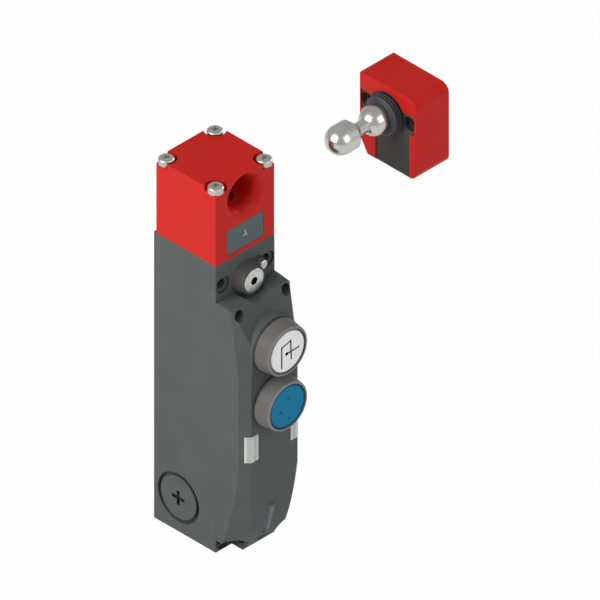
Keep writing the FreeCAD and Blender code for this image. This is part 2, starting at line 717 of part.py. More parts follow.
def make_collar_nut(z):
    start = V(0, COVER_FRONT + COVER_WALL, z)
    ring = rod(COLLAR_NUT_R, COLLAR_NUT_T, start, Y_AXIS)
    hole = rod(COLLAR_SPIGOT_R + THREAD_GAP / 2, COLLAR_NUT_T, start, Y_AXIS)
    notches = [
        box(-1.2, 1.2, start.y, start.y + COLLAR_NUT_T, z + side * COLLAR_NUT_R - 0.8, z + side * COLLAR_NUT_R + 0.8)
        for side in (-1, 1)
    ]
    return ring.cut([hole] + notches)


def make_button_cap(z):
    """Cup-shaped cap with its guide stem; its front well takes the legend disc."""
    front = COLLAR_RIM_Y + BUTTON_INSET
    cap = rod(BUTTON_CAP_R, BUTTON_CAP_T, V(0, front, z), Y_AXIS)
    cap = chamfered(cap, 0.35, lambda e: abs(e.BoundBox.YMax - front) < 0.01)
    well = rod(BUTTON_CAP_R - BUTTON_RIM_W, BUTTON_DISC_T, V(0, front, z), Y_AXIS)
    hollow = rod(BUTTON_CAP_R - 1.6, BUTTON_CAP_T, V(0, front + BUTTON_DISC_T + 1.2, z), Y_AXIS)
    stem_end = COVER_FRONT + COLLAR_SPIGOT_LENGTH + CONTACT_GAP
    stem = rod(BUTTON_STEM_R, stem_end - front - BUTTON_DISC_T, V(0, front + BUTTON_DISC_T, z), Y_AXIS)
    return cap.cut([well, hollow]).fuse(stem)


def make_button_disc(z):
    front = COLLAR_RIM_Y + BUTTON_INSET
    disc = rod(BUTTON_CAP_R - BUTTON_RIM_W - RUNNING_GAP, BUTTON_DISC_T, V(0, front, z), Y_AXIS)
    return disc


def make_button_spring(z):
    start = COLLAR_RIM_Y + BUTTON_INSET + BUTTON_DISC_T + 1.2
    end = COLLAR_BASE_Y - COLLAR_FLOOR
    return coil_spring(BUTTON_STEM_R + 2.4, 4, end - start, V(0, start, z), Y_AXIS)


def make_contact_block(z):
    """Snap-on contact block behind the collar nut, open in front for the button's stem."""
    front = COVER_FRONT + COLLAR_SPIGOT_LENGTH
    block = box(-CONTACT_W / 2, CONTACT_W / 2, front, front + CONTACT_T, z - CONTACT_H / 2, z + CONTACT_H / 2)
    block = rounded(block, 1.0, lambda e: is_straight_along(e, Y_AXIS))
    well = rod(BUTTON_STEM_R + BUTTON_GAP, CONTACT_T - 3.0, V(0, front, z), Y_AXIS)
    return block.cut(well)


# ---- cable entries ----------------------------------------------------------------------------------------------------
def make_entry_plug(side):
    head_back = -HALF + ENTRY_RECESS_DEPTH - O_RING_T
    centre = V(head_back, ENTRY_Y, ENTRY_Z)
    head = rod(PLUG_HEAD_R, PLUG_HEAD_T - O_RING_T, centre, -X_AXIS)
    outer_x = head_back - (PLUG_HEAD_T - O_RING_T)
    head = chamfered(head, 0.4, lambda e: abs(e.BoundBox.XMax - outer_x) < 0.01)
    shank = rod(ENTRY_R - THREAD_GAP, PLUG_SHANK_LENGTH, centre, X_AXIS)
    half = PLUG_SLOT_LENGTH / 2
    half_w = PLUG_SLOT_W / 2
    depth = outer_x + PLUG_SLOT_DEPTH
    bar = box(outer_x, depth, ENTRY_Y - half, ENTRY_Y + half, ENTRY_Z - half_w, ENTRY_Z + half_w)
    post = box(outer_x, depth, ENTRY_Y - half_w, ENTRY_Y + half_w, ENTRY_Z - half, ENTRY_Z + half)
    plug = head.fuse(shank).cut([bar, post])
    return plug if side < 0 else mirrored(plug)


def make_entry_ring(side):
    start = V(-HALF + ENTRY_RECESS_DEPTH - O_RING_T, ENTRY_Y, ENTRY_Z)
    ring = rod(PLUG_HEAD_R - 0.4, O_RING_T, start, X_AXIS)
    ring = ring.cut(rod(ENTRY_R, O_RING_T, start, X_AXIS))
    return ring if side < 0 else mirrored(ring)


# ---- auxiliary release ----------------------------------------------------------------------------------------------------
def make_release_boss():
    base = V(0, FRONT, RELEASE_Z)
    cone = Part.makeCone(RELEASE_BASE_R, RELEASE_FRONT_R, RELEASE_LENGTH, base, -Y_AXIS)
    ear = rod(SEAL_SCREW_EAR_R, SEAL_SCREW_EAR_T, V(SEAL_SCREW_X, FRONT, SEAL_SCREW_Z), -Y_AXIS)
    spigot = rod(RELEASE_SPIGOT_R - THREAD_GAP, LOCK_CHAMBER_FRONT - FRONT - 0.2, base, Y_AXIS)
    front = FRONT - RELEASE_LENGTH
    pocket = rod(RELEASE_DISC_R + RUNNING_GAP, RELEASE_DISC_T, V(0, front, RELEASE_Z), Y_AXIS)
    bore = rod(RELEASE_SHAFT_R + RUNNING_GAP, 3 * RELEASE_LENGTH, V(0, front, RELEASE_Z), Y_AXIS)
    screw = V(SEAL_SCREW_X, FRONT, SEAL_SCREW_Z)
    screw_hole = rod(SEAL_SCREW_R + THREAD_GAP, SEAL_SCREW_EAR_T, screw, -Y_AXIS)
    head_y = FRONT - SEAL_SCREW_EAR_T
    head_room = rod(SEAL_SCREW_HEAD_R + THREAD_GAP, RELEASE_LENGTH, V(SEAL_SCREW_X, head_y, SEAL_SCREW_Z), -Y_AXIS)
    return fuse([cone, ear, spigot]).cut([pocket, bore, screw_hole, head_room])


def make_release_rotor():
    """Key-operated rotor: front disc, shaft and the eccentric pin that rides over the bolt's shelf."""
    front = FRONT - RELEASE_LENGTH - RELEASE_PROUD
    disc = rod(RELEASE_DISC_R, RELEASE_DISC_T + RELEASE_PROUD, V(0, front, RELEASE_Z), Y_AXIS)
    disc = chamfered(disc, 0.25, lambda e: abs(e.BoundBox.YMax - front) < 0.01)
    cam_y = LOCK_CHAMBER_FRONT + 0.2
    shaft = rod(RELEASE_SHAFT_R, cam_y - front, V(0, front, RELEASE_Z), Y_AXIS)
    cam = rod(RELEASE_CAM_R, RELEASE_CAM_T, V(0, cam_y, RELEASE_Z), Y_AXIS)
    pin_z = RELEASE_Z + RELEASE_PIN_THROW
    pin = rod(RELEASE_PIN_R, RELEASE_PIN_LENGTH, V(0, cam_y + RELEASE_CAM_T, pin_z), Y_AXIS)
    key = hexagon_prism(RELEASE_KEY_ACROSS, RELEASE_KEY_DEPTH, V(0, front, RELEASE_Z), Y_AXIS)
    return fuse([disc, shaft, cam, pin]).cut(key)


def make_seal_screw():
    seat = V(SEAL_SCREW_X, FRONT - SEAL_SCREW_EAR_T, SEAL_SCREW_Z)
    head = rod(SEAL_SCREW_HEAD_R, SEAL_SCREW_HEAD_T, seat, -Y_AXIS)
    top = seat.y - SEAL_SCREW_HEAD_T
    head = chamfered(head, 0.4, lambda e: abs(e.BoundBox.YMax - top) < 0.01)
    shank = rod(SEAL_SCREW_R - THREAD_GAP / 2, SEAL_SCREW_LENGTH, seat, Y_AXIS)
    cross = rod(0.5, 3 * SEAL_SCREW_HEAD_R, V(seat.x - 1.5 * SEAL_SCREW_HEAD_R, top + 1.0, seat.z), X_AXIS)
    return head.fuse(shank).cut(cross)


# ---- head -------------------------------------------------------------------------------------------------------------------
def head_seal_ring():
    out_x = HEAD_CHAMBER_X + SEAL_MARGIN + SEAL_W
    front = FRONT + HEAD_CHAMBER_FRONT - SEAL_MARGIN - SEAL_W
    back = -HEAD_CHAMBER_BACK + SEAL_MARGIN + SEAL_W
    ring = box(-out_x, out_x, front, back, BODY_TOP - SEAL_T, BODY_TOP)
    inner = box(-out_x + SEAL_W, out_x - SEAL_W, front + SEAL_W, back - SEAL_W, BODY_TOP - SEAL_T, BODY_TOP)
    return ring.cut(inner)


def funnel_cutter():
    """Trumpet-shaped mouth that narrows on an arc from the funnel radius to the bore."""
    flare = FUNNEL_R - BORE_R
    radius = (FUNNEL_DEPTH ** 2 + flare ** 2) / (2 * flare)
    centre_r = BORE_R + radius
    end = V(0, FRONT + FUNNEL_DEPTH, BORE_Z + BORE_R)
    start = V(0, FRONT, BORE_Z + FUNNEL_R)
    turn = math.asin(FUNNEL_DEPTH / radius) / 2
    middle = V(
        0,
        FRONT + FUNNEL_DEPTH - radius * math.sin(turn),
        BORE_Z + centre_r - radius * math.cos(turn),
    )
    flare_arc = Part.Arc(start, middle, end).toShape()
    axis_start = V(0, FRONT, BORE_Z)
    axis_end = V(0, FRONT + FUNNEL_DEPTH, BORE_Z)
    outline = [
        flare_arc,
        Part.makeLine(end, axis_end),
        Part.makeLine(axis_end, axis_start),
        Part.makeLine(axis_start, start),
    ]
    return Part.Face(Part.Wire(outline)).revolve(axis_start, Y_AXIS, 360)


def make_head():
    head = box(-HALF, HALF, FRONT, HEAD_BACK, BODY_TOP, HEAD_TOP)
    head = rounded(head, HEAD_EDGE_R, lambda e: is_straight_along(e, Z_AXIS))
    length = BODY_DEPTH - HEAD_SETBACK
    mouth_y = FRONT + FUNNEL_DEPTH
    cuts = [funnel_cutter(), rod(SLEEVE_R, length - FUNNEL_DEPTH, V(0, mouth_y, BORE_Z), Y_AXIS)]
    chamber = box(
        -HEAD_CHAMBER_X,
        HEAD_CHAMBER_X,
        FRONT + HEAD_CHAMBER_FRONT,
        -HEAD_CHAMBER_BACK,
        BODY_TOP,
        HEAD_CHAMBER_TOP,
    )
    cuts.append(chamber)
    cuts.append(rod(BOLT_R + 2 * RUNNING_GAP, BORE_Z - HEAD_CHAMBER_TOP, V(0, BOLT_Y, HEAD_CHAMBER_TOP), Z_AXIS))
    for place in HEAD_SCREW_PLACES:
        cuts.append(rod(HEAD_SCREW_R + SCREW_GAP, HEAD_HEIGHT, place, -Z_AXIS))
        pocket = rod(HEAD_POCKET_R, HEAD_POCKET_DEPTH + 1, place, Z_AXIS)
        x_far = math.copysign(HALF + 1, place.x)
        y_far = FRONT - 1 if place.y < FRONT / 2 else HEAD_BACK + 1
        xs = sorted((place.x, x_far))
        ys = sorted((place.y, y_far))
        corner = box(xs[0], xs[1], ys[0], ys[1], place.z, HEAD_TOP + 1)
        cuts += [pocket, corner]
    cuts.append(head_plate_block(0))
    return head.cut(cuts)


def head_plate_block(gap):
    """The name plate on the head's front, or with no gap the recess it is bonded into."""
    half = HEAD_PLATE_W / 2 - gap
    z_low = BODY_TOP + HEAD_PLATE_RISE + gap
    z_high = BODY_TOP + HEAD_PLATE_RISE + HEAD_PLATE_H - gap
    plate = box(-half, half, FRONT, FRONT + HEAD_PLATE_T, z_low, z_high)
    return rounded(plate, HEAD_PLATE_R, lambda e: is_straight_along(e, Y_AXIS))


def make_bore_sleeve():
    length = BODY_DEPTH - HEAD_SETBACK - FUNNEL_DEPTH
    start = V(0, FRONT + FUNNEL_DEPTH, BORE_Z)
    sleeve = rod(SLEEVE_R, length, start, Y_AXIS).cut(rod(BORE_R, length, start, Y_AXIS))
    return sleeve.cut(rod(BOLT_R + 2 * RUNNING_GAP, BORE_R + SLEEVE_WALL, V(0, BOLT_Y, BORE_Z), -Z_AXIS))


def make_head_screw(place):
    head = rod(HEAD_SCREW_HEAD_R, HEAD_SCREW_HEAD_T, place, Z_AXIS)
    top = place.z + HEAD_SCREW_HEAD_T
    head = chamfered(head, 0.5, lambda e: abs(e.BoundBox.ZMin - top) < 0.01)
    shank = rod(HEAD_SCREW_R - THREAD_GAP / 2, HEAD_SCREW_LENGTH, place, -Z_AXIS)
    socket = hexagon_prism(HEAD_SCREW_SOCKET, HEAD_SCREW_HEAD_T * 0.6, V(place.x, place.y, top), -Z_AXIS)
    return head.fuse(shank).cut(socket)


def make_reader_antenna():
    """Flat reader coil on its ferrite, held up against the roof of the head's chamber."""
    front = FRONT + HEAD_CHAMBER_FRONT
    middle = front + FERRITE_T
    back = middle + READER_COIL_T
    half = HEAD_CHAMBER_X - CORE_GAP
    foot = BODY_TOP + READER_RISE
    ferrite = box(-half, half, front, middle, foot, HEAD_CHAMBER_TOP)
    rim = READER_COIL_MARGIN
    coil = box(-half + rim, half - rim, middle, back, foot + rim, HEAD_CHAMBER_TOP - rim)
    rim += READER_COIL_W
    window = box(-half + rim, half - rim, middle, back, foot + rim, HEAD_CHAMBER_TOP - rim)
    return ferrite.fuse(coil.cut(window))


# ---- lock ----------------------------------------------------------------------------------------------------------------------
def make_lock_bolt():
    foot = V(0, BOLT_Y, BOLT_FOOT_Z)
    length = BOLT_TOP - BOLT_FOOT_Z
    bolt = rod(BOLT_R, length, foot, Z_AXIS)
    bolt = chamfered(bolt, 1.0, lambda e: abs(e.BoundBox.ZMin - BOLT_TOP) < 0.01)
    collar = rod(BOLT_COLLAR_R, BOLT_SHELF_T, V(0, BOLT_Y, BOLT_SHELF_Z), Z_AXIS)
    half = BOLT_SHELF_W / 2
    shelf_front = BOLT_Y - BOLT_R - BOLT_SHELF_REACH
    shelf = box(-half, half, shelf_front, BOLT_Y, BOLT_SHELF_Z, BOLT_SHELF_Z + BOLT_SHELF_T)
    return fuse([bolt, collar, shelf])


def make_guide_bush():
    start = V(0, BOLT_Y, BODY_TOP - BUSH_LENGTH)
    bush = rod(BUSH_R - THREAD_GAP / 2, BUSH_LENGTH, start, Z_AXIS)
    flange = rod(BUSH_FLANGE_R - THREAD_GAP / 2, BUSH_FLANGE_T, V(0, BOLT_Y, BODY_TOP - BUSH_FLANGE_T), Z_AXIS)
    bore = rod(BOLT_R + RUNNING_GAP, BUSH_LENGTH, start, Z_AXIS)
    return bush.fuse(flange).cut(bore)


def make_solenoid_plunger():
    foot = V(0, BOLT_Y, PLUNGER_FOOT_Z)
    return rod(PLUNGER_R, BOLT_FOOT_Z - PLUNGER_FOOT_Z, foot, Z_AXIS)


def make_lock_spring():
    """Return spring between the bolt's collar and the guide bush."""
    start = BOLT_SHELF_Z + BOLT_SHELF_T
    length = BODY_TOP - BUSH_LENGTH - start
    return coil_spring(BOLT_R + SPRING_WIRE_R + BUTTON_GAP, 5, length, V(0, BOLT_Y, start), Z_AXIS)


def make_solenoid_coil():
    """Bobbin with its winding."""
    flange_low = rod(COIL_FLANGE_R, COIL_FLANGE_T, V(0, BOLT_Y, COIL_BOTTOM), Z_AXIS)
    winding = rod(COIL_R, COIL_TOP - COIL_BOTTOM, V(0, BOLT_Y, COIL_BOTTOM), Z_AXIS)
    flange_high = rod(COIL_FLANGE_R, COIL_FLANGE_T, V(0, BOLT_Y, COIL_TOP - COIL_FLANGE_T), Z_AXIS)
    bore = rod(PLUNGER_R + BUTTON_GAP, COIL_TOP - COIL_BOTTOM, V(0, BOLT_Y, COIL_BOTTOM), Z_AXIS)
    return fuse([winding, flange_low, flange_high]).cut(bore)


def make_solenoid_yoke():
    """Bent steel bracket round the coil: top arm, back and bottom arm."""
    half = YOKE_W / 2
    y_front = BOLT_Y - COIL_R
    y_back = BOLT_Y + COIL_FLANGE_R
    top = box(-half, half, y_front, y_back + YOKE_T, COIL_TOP, COIL_TOP + YOKE_T)
    back = box(-half, half, y_back, y_back + YOKE_T, COIL_BOTTOM - YOKE_FOOT_T, COIL_TOP)
    foot = box(-half, half, y_front, y_back, COIL_BOTTOM - YOKE_FOOT_T, COIL_BOTTOM)
    hole = rod(PLUNGER_R + BUTTON_GAP, YOKE_T, V(0, BOLT_Y, COIL_TOP), Z_AXIS)
    return fuse([top, back, foot]).cut(hole)


# ---- electronics ------------------------------------------------------------------------------------------------------------------
def make_circuit_board():
    front = -BOARD_FROM_BACK - BOARD_T
    return box(-BOARD_W / 2, BOARD_W / 2, front, front + BOARD_T, BOARD_BOTTOM, BOARD_TOP)


def terminal_ways():
    pitch = TERMINAL_W / TERMINAL_WAYS
    return [-TERMINAL_W / 2 + pitch * (k + 0.5) for k in range(TERMINAL_WAYS)]


def make_terminal_block():
    back = -BOARD_FROM_BACK - BOARD_T
    low = BOARD_BOTTOM + TERMINAL_RISE
    front = back - TERMINAL_T
    block = box(-TERMINAL_W / 2, TERMINAL_W / 2, front, back, low, low + TERMINAL_H)
    block = rounded(block, 1.0, lambda e: is_straight_along(e, X_AXIS) and e.BoundBox.YMax < front + 0.1)
    cuts = []
    for x in terminal_ways():
        cuts.append(rod(TERMINAL_SCREW_R + THREAD_GAP, 3.0, V(x, front, low + TERMINAL_H / 2), Y_AXIS))
        cuts.append(rod(TERMINAL_HOLE_R, 5.0, V(x, back - TERMINAL_T / 2, low), Z_AXIS))
    return block.cut(cuts)


def make_terminal_screws():
    back = -BOARD_FROM_BACK - BOARD_T
    low = BOARD_BOTTOM + TERMINAL_RISE
    front = back - TERMINAL_T
    screws = []
    for x in terminal_ways():
        y = front + 3.0 - TERMINAL_SCREW_T
        screws.append(rod(TERMINAL_SCREW_R, TERMINAL_SCREW_T, V(x, y, low + TERMINAL_H / 2), Y_AXIS))
    return Part.makeCompound(screws)


def make_relays():
    """Two safety relays side by side near the top of the board."""
    back = -BOARD_FROM_BACK - BOARD_T
    z = BOARD_TOP - RELAY_H - 1.0
    relays = []
    for side in (-1, 1):
        x = side * (RELAY_W / 2 + 1.0)
        relay = box(x - RELAY_W / 2, x + RELAY_W / 2, back - RELAY_T, back, z, z + RELAY_H)
        relays.append(rounded(relay, 0.8, lambda e: is_straight_along(e, Y_AXIS)))
    return Part.makeCompound(relays)


# ---- actuator --------------------------------------------------------------------------------------------------------------------------
def block_outline(inset, x_start, x_length):
    """Outline of the actuator block in the YZ plane, extruded along X."""
    y_front = PIN_Y - BLOCK_DEPTH / 2 + inset
    y_back = PIN_Y + BLOCK_DEPTH / 2 - inset
    z_low = BLOCK_BOTTOM + inset
    z_high = BLOCK_TOP - inset
    points = [
        V(x_start, y_front, z_high),
        V(x_start, y_back, z_high),
        V(x_start, y_back, z_low + BLOCK_CHAMFER_Z),
        V(x_start, y_back - BLOCK_CHAMFER_Y, z_low),
        V(x_start, y_front, z_low),
    ]
    form = face_of(points).extrude(X_AXIS * x_length)
    front_r = BLOCK_FRONT_R - inset

    def at(e, y, z):
        return is_straight_along(e, X_AXIS) and abs(e.BoundBox.YMin - y) < 0.01 and abs(e.BoundBox.ZMin - z) < 0.01

    form = rounded(form, front_r, lambda e: at(e, y_front, z_high) or at(e, y_front, z_low))
    return rounded(form, 1.5, lambda e: at(e, y_back, z_high))


def t_shape(gap, x_start, x_length):
    """T-shaped insert in the block's face: a band at pin height and a stem down to the foot."""
    reach = BLOCK_DEPTH / 2 - BAND_END_WALL - gap
    half_band = BAND_HEIGHT / 2 - gap
    half_stem = STEM_WIDTH / 2 - gap
    x_end = x_start + x_length
    band = box(x_start, x_end, PIN_Y - reach, PIN_Y + reach, BORE_Z - half_band, BORE_Z + half_band)
    stem_y = PIN_Y - STEM_SHIFT
    stem = box(x_start, x_end, stem_y - half_stem, stem_y + half_stem, BLOCK_BOTTOM - 1, BORE_Z)
    hub = rod(BOOT_FLANGE_R - gap, x_length, V(x_start, PIN_Y, BORE_Z), X_AXIS)
    return fuse([band, stem, hub])


def pin_axis(offset):
    return V(PIN_TIP_X + offset, PIN_Y, BORE_Z)


def make_actuator_shell():
    outer = block_outline(0, BLOCK_X, BLOCK_T)
    face_edges = [e for e in outer.Edges if abs(e.BoundBox.XMax - BLOCK_X) < 0.01]
    outer = outer.makeFillet(BLOCK_EDGE_R, face_edges)
    hollow = block_outline(BLOCK_WALL, BLOCK_X + FACE_SKIN, BLOCK_T)
    return outer.cut([hollow, t_shape(0, BLOCK_X - 1, FACE_SKIN + 1)])


def fixing_places():
    half = FIXING_SPACING / 2
    return [V(BLOCK_X, PIN_Y - half, BORE_Z), V(BLOCK_X, PIN_Y + half, BORE_Z)]


def swing_room(radius, distance):
    """Radius that a round part of the pin needs at a distance from its pivot when it swings."""
    return radius + distance * math.sin(math.radians(PIN_SWING)) + SWING_CLEARANCE


def make_actuator_core():
    """Plastic core: the T-shaped face, the pin's seat and the body that carries the fixings."""
    gap = CORE_GAP
    face = t_shape(gap, BLOCK_X + BAND_SINK, FACE_SKIN - BAND_SINK)
    face = face.common(block_outline(gap, BLOCK_X, BLOCK_T))
    inner = block_outline(BLOCK_WALL + gap, BLOCK_X + FACE_SKIN, BLOCK_T - FACE_SKIN - BACKPLATE_T)
    core = face.fuse(inner)
    depth = BLOCK_END_X - BLOCK_X
    nut_room = rod(swing_room(PIN_NUT_R, SEAT_R + PIN_NUT_T), depth, V(BLOCK_X + FACE_SKIN, PIN_Y, BORE_Z), X_AXIS)
    nut_room = nut_room.cut(Part.makeSphere(SEAT_R, pin_axis(PIN_BALL_AT)))
    stem_room = rod(swing_room(PIN_STEM_R, SEAT_R), depth, V(BLOCK_X, PIN_Y, BORE_Z), X_AXIS)
    boot_room = rod(BOOT_FLANGE_R, BOOT_FLANGE_T + BAND_SINK, V(BLOCK_X, PIN_Y, BORE_Z), X_AXIS)
    ball_room = Part.makeSphere(PIN_R + BUTTON_GAP, pin_axis(PIN_BALL_AT))
    cuts = [nut_room, stem_room, boot_room, ball_room]
    for place in fixing_places():
        cuts.append(rod(FIXING_R, BLOCK_T, place, X_AXIS))
        cuts.append(rod(FIXING_HEAD_R, FIXING_HEAD_DEPTH + BAND_SINK, place, X_AXIS))
    for place in plate_screw_places():
        cuts.append(rod(PLATE_SCREW_R, PLATE_SCREW_LENGTH + SCREW_GAP, place, -X_AXIS))
    cuts.append(tag_space(0))
    return core.cut(cuts)


def tag_space(gap):
    """Pocket of the coded transponder, above the pin."""
    z = BORE_Z + swing_room(PIN_NUT_R, SEAT_R + PIN_NUT_T) + 0.3
    x = BLOCK_X + FACE_SKIN
    return box(x, x + TAG_T - gap, PIN_Y - TAG_W + gap, PIN_Y + TAG_W - gap, z + gap, z + 2.2 - gap)


def make_transponder():
    return tag_space(CORE_GAP)


def make_backplate():
    plate = block_outline(BLOCK_WALL + CORE_GAP, BLOCK_END_X - BACKPLATE_T, BACKPLATE_T)
    cuts = [rod(FIXING_R, BLOCK_T, place, X_AXIS) for place in fixing_places()]
    for place in plate_screw_places():
        cuts.append(rod(PLATE_SCREW_R + THREAD_GAP, BACKPLATE_T, place, -X_AXIS))
        cuts.append(Part.makeCone(PLATE_SCREW_HEAD_R, PLATE_SCREW_R, 1.3, place, -X_AXIS))
    return plate.cut(cuts)


def plate_screw_places():
    z_high = BLOCK_TOP - BLOCK_WALL - 3.8
    z_low = BLOCK_BOTTOM + BLOCK_WALL + 4.2
    spread = BLOCK_DEPTH / 2 - BLOCK_WALL - 5.5
    return [V(BLOCK_END_X, PIN_Y + side * spread, z) for side in (-1, 1) for z in (z_low, z_high)]


def make_plate_screw(place):
    head = Part.makeCone(PLATE_SCREW_HEAD_R - 0.1, PLATE_SCREW_R - 0.1, 1.3, place, -X_AXIS)
    shank = rod(PLATE_SCREW_R - 0.1, PLATE_SCREW_LENGTH, place, -X_AXIS)
    socket = hexagon_prism(1.6, 1.0, place, -X_AXIS)
    return head.fuse(shank).cut(socket)


def make_boot():
    """Ribbed rubber collar that grips the pin's ball and seals the core."""
    start = -BOOT_LENGTH
    steps = 3
    pitch = (BOOT_LENGTH - 1.0) / steps
    profile = [(start, 0), (start, BOOT_R - 1.6), (start + 1.0, BOOT_R - BOOT_RIB_DEPTH)]
    for k in range(steps):
        left = start + 1.0 + k * pitch
        profile.append((left + pitch * 0.25, BOOT_R))
        profile.append((left + pitch * 0.65, BOOT_R))
        profile.append((left + pitch, BOOT_R - BOOT_RIB_DEPTH))
    profile += [(BAND_SINK, BOOT_R - BOOT_RIB_DEPTH), (BAND_SINK, BOOT_FLANGE_R - CORE_GAP)]
    profile += [(BAND_SINK + BOOT_FLANGE_T, BOOT_FLANGE_R - CORE_GAP), (BAND_SINK + BOOT_FLANGE_T, 0)]
    boot = spun(profile, V(BLOCK_X, PIN_Y, BORE_Z), X_AXIS)
    ball = Part.makeSphere(PIN_R + RUNNING_GAP, pin_axis(PIN_BALL_AT))
    mouth = rod(PIN_R + RUNNING_GAP, PIN_BALL_AT, pin_axis(0), X_AXIS)
    stem = rod(swing_room(PIN_STEM_R, SEAT_R), BLOCK_T, pin_axis(PIN_BALL_AT), X_AXIS)
    return boot.cut([ball, mouth, stem])


def turned(edges, base):
    """Solid turned about the X axis from edges drawn as (along, radius) lines and arcs."""
    def at(along, radius):
        return base + V(along, 0, radius)

    outline = []
    for edge in edges:
        ends = [at(along, radius) for along, radius in edge]
        if len(ends) == 3:
            outline.append(Part.Arc(*ends).toShape())
        else:
            outline.append(Part.makeLine(*ends))
    return Part.Face(Part.Wire(outline)).revolve(base, X_AXIS, 360)


def make_actuator_pin():
    """Turned steel pin: round tip, cylinder, cone down to the neck, ball and threaded stem."""
    tip_side = PIN_R * math.sqrt(0.5)
    neck_end = PIN_BALL_AT - math.sqrt(PIN_R ** 2 - PIN_NECK_R ** 2)
    stem_start = PIN_BALL_AT + math.sqrt(PIN_R ** 2 - PIN_STEM_R ** 2)
    stem_end = PIN_BALL_AT + SEAT_R + PIN_NUT_T + PIN_STEM_PROUD
    edges = [
        [(-PIN_R, 0), (-tip_side, tip_side), (0, PIN_R)],
        [(0, PIN_R), (PIN_CYLINDER, PIN_R)],
        [(PIN_CYLINDER, PIN_R), (PIN_NECK_AT, PIN_NECK_R)],
        [(PIN_NECK_AT, PIN_NECK_R), (neck_end, PIN_NECK_R)],
        [(neck_end, PIN_NECK_R), (PIN_BALL_AT, PIN_R), (stem_start, PIN_STEM_R)],
        [(stem_start, PIN_STEM_R), (stem_end, PIN_STEM_R)],
        [(stem_end, PIN_STEM_R), (stem_end, 0)],
        [(stem_end, 0), (-PIN_R, 0)],
    ]
    return turned(edges, pin_axis(0))


def make_pin_nut():
    """Nut with a hollow spherical face that swings on the core's seat."""
    start = PIN_BALL_AT + SEAT_R - 1.6
    nut = rod(PIN_NUT_R, PIN_NUT_T + 1.6, pin_axis(start), X_AXIS)
    seat = Part.makeSphere(SEAT_R + RUNNING_GAP, pin_axis(PIN_BALL_AT))
    return nut.cut([seat, rod(PIN_STEM_R + RUNNING_GAP, 2 * PIN_NUT_T, pin_axis(start - 1), X_AXIS)])


# ---- export ------------------------------------------------------------------------------------------------------------------------------
def main():
    os.makedirs("parts", exist_ok=True)
    nodes = {
        "housing": make_housing(),
        "cover_seal": make_cover_seal(),
        "front_cover": make_front_cover(),
        "cover_screws": Part.makeCompound([make_cover_screw(side) for side in (-1, 1)]),
        "indicator_window_left": make_window(-1),
        "indicator_window_right": make_window(1),
        "entry_plug_left": make_entry_plug(-1),
        "entry_plug_right": make_entry_plug(1),
        "entry_seal_left": make_entry_ring(-1),
        "entry_seal_right": make_entry_ring(1),
        "release_boss": make_release_boss(),
        "release_rotor": make_release_rotor(),
        "release_seal_screw": make_seal_screw(),
        "head": make_head(),
        "head_plate": head_plate_block(HEAD_PLATE_GAP),
        "head_seal": head_seal_ring(),
        "head_screws": Part.makeCompound([make_head_screw(place) for place in HEAD_SCREW_PLACES]),
        "bore_sleeve": make_bore_sleeve(),
        "reader_antenna": make_reader_antenna(),
        "lock_bolt": make_lock_bolt(),
        "bolt_guide_bush": make_guide_bush(),
        "solenoid_plunger": make_solenoid_plunger(),
        "solenoid_coil": make_solenoid_coil(),
        "solenoid_yoke": make_solenoid_yoke(),
        "lock_spring": make_lock_spring(),
        "circuit_board": make_circuit_board(),
        "terminal_block": make_terminal_block(),
        "terminal_screws": make_terminal_screws(),
        "safety_relays": make_relays(),
        "actuator_shell": make_actuator_shell(),
        "actuator_core": make_actuator_core(),
        "actuator_boot": make_boot(),
        "actuator_pin": make_actuator_pin(),
        "actuator_pin_nut": make_pin_nut(),
        "actuator_backplate": make_backplate(),
        "backplate_screws": Part.makeCompound([make_plate_screw(place) for place in plate_screw_places()]),
        "transponder": make_transponder(),
    }
    for name, z in zip(("upper", "lower"), BUTTON_ZS):
        nodes[name + "_button_collar"] = make_collar(z)
        nodes[name + "_collar_gasket"] = make_collar_gasket(z)
        nodes[name + "_collar_nut"] = make_collar_nut(z)
        nodes[name + "_button_cap"] = make_button_cap(z)
        nodes[name + "_button_disc"] = make_button_disc(z)
        nodes[name + "_button_spring"] = make_button_spring(z)
        nodes[name + "_contact_block"] = make_contact_block(z)
    for name, shape in nodes.items():
        shape.exportStep("parts/" + name + ".step")


if __name__ == "__main__":
    main()
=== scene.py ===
import json
import math

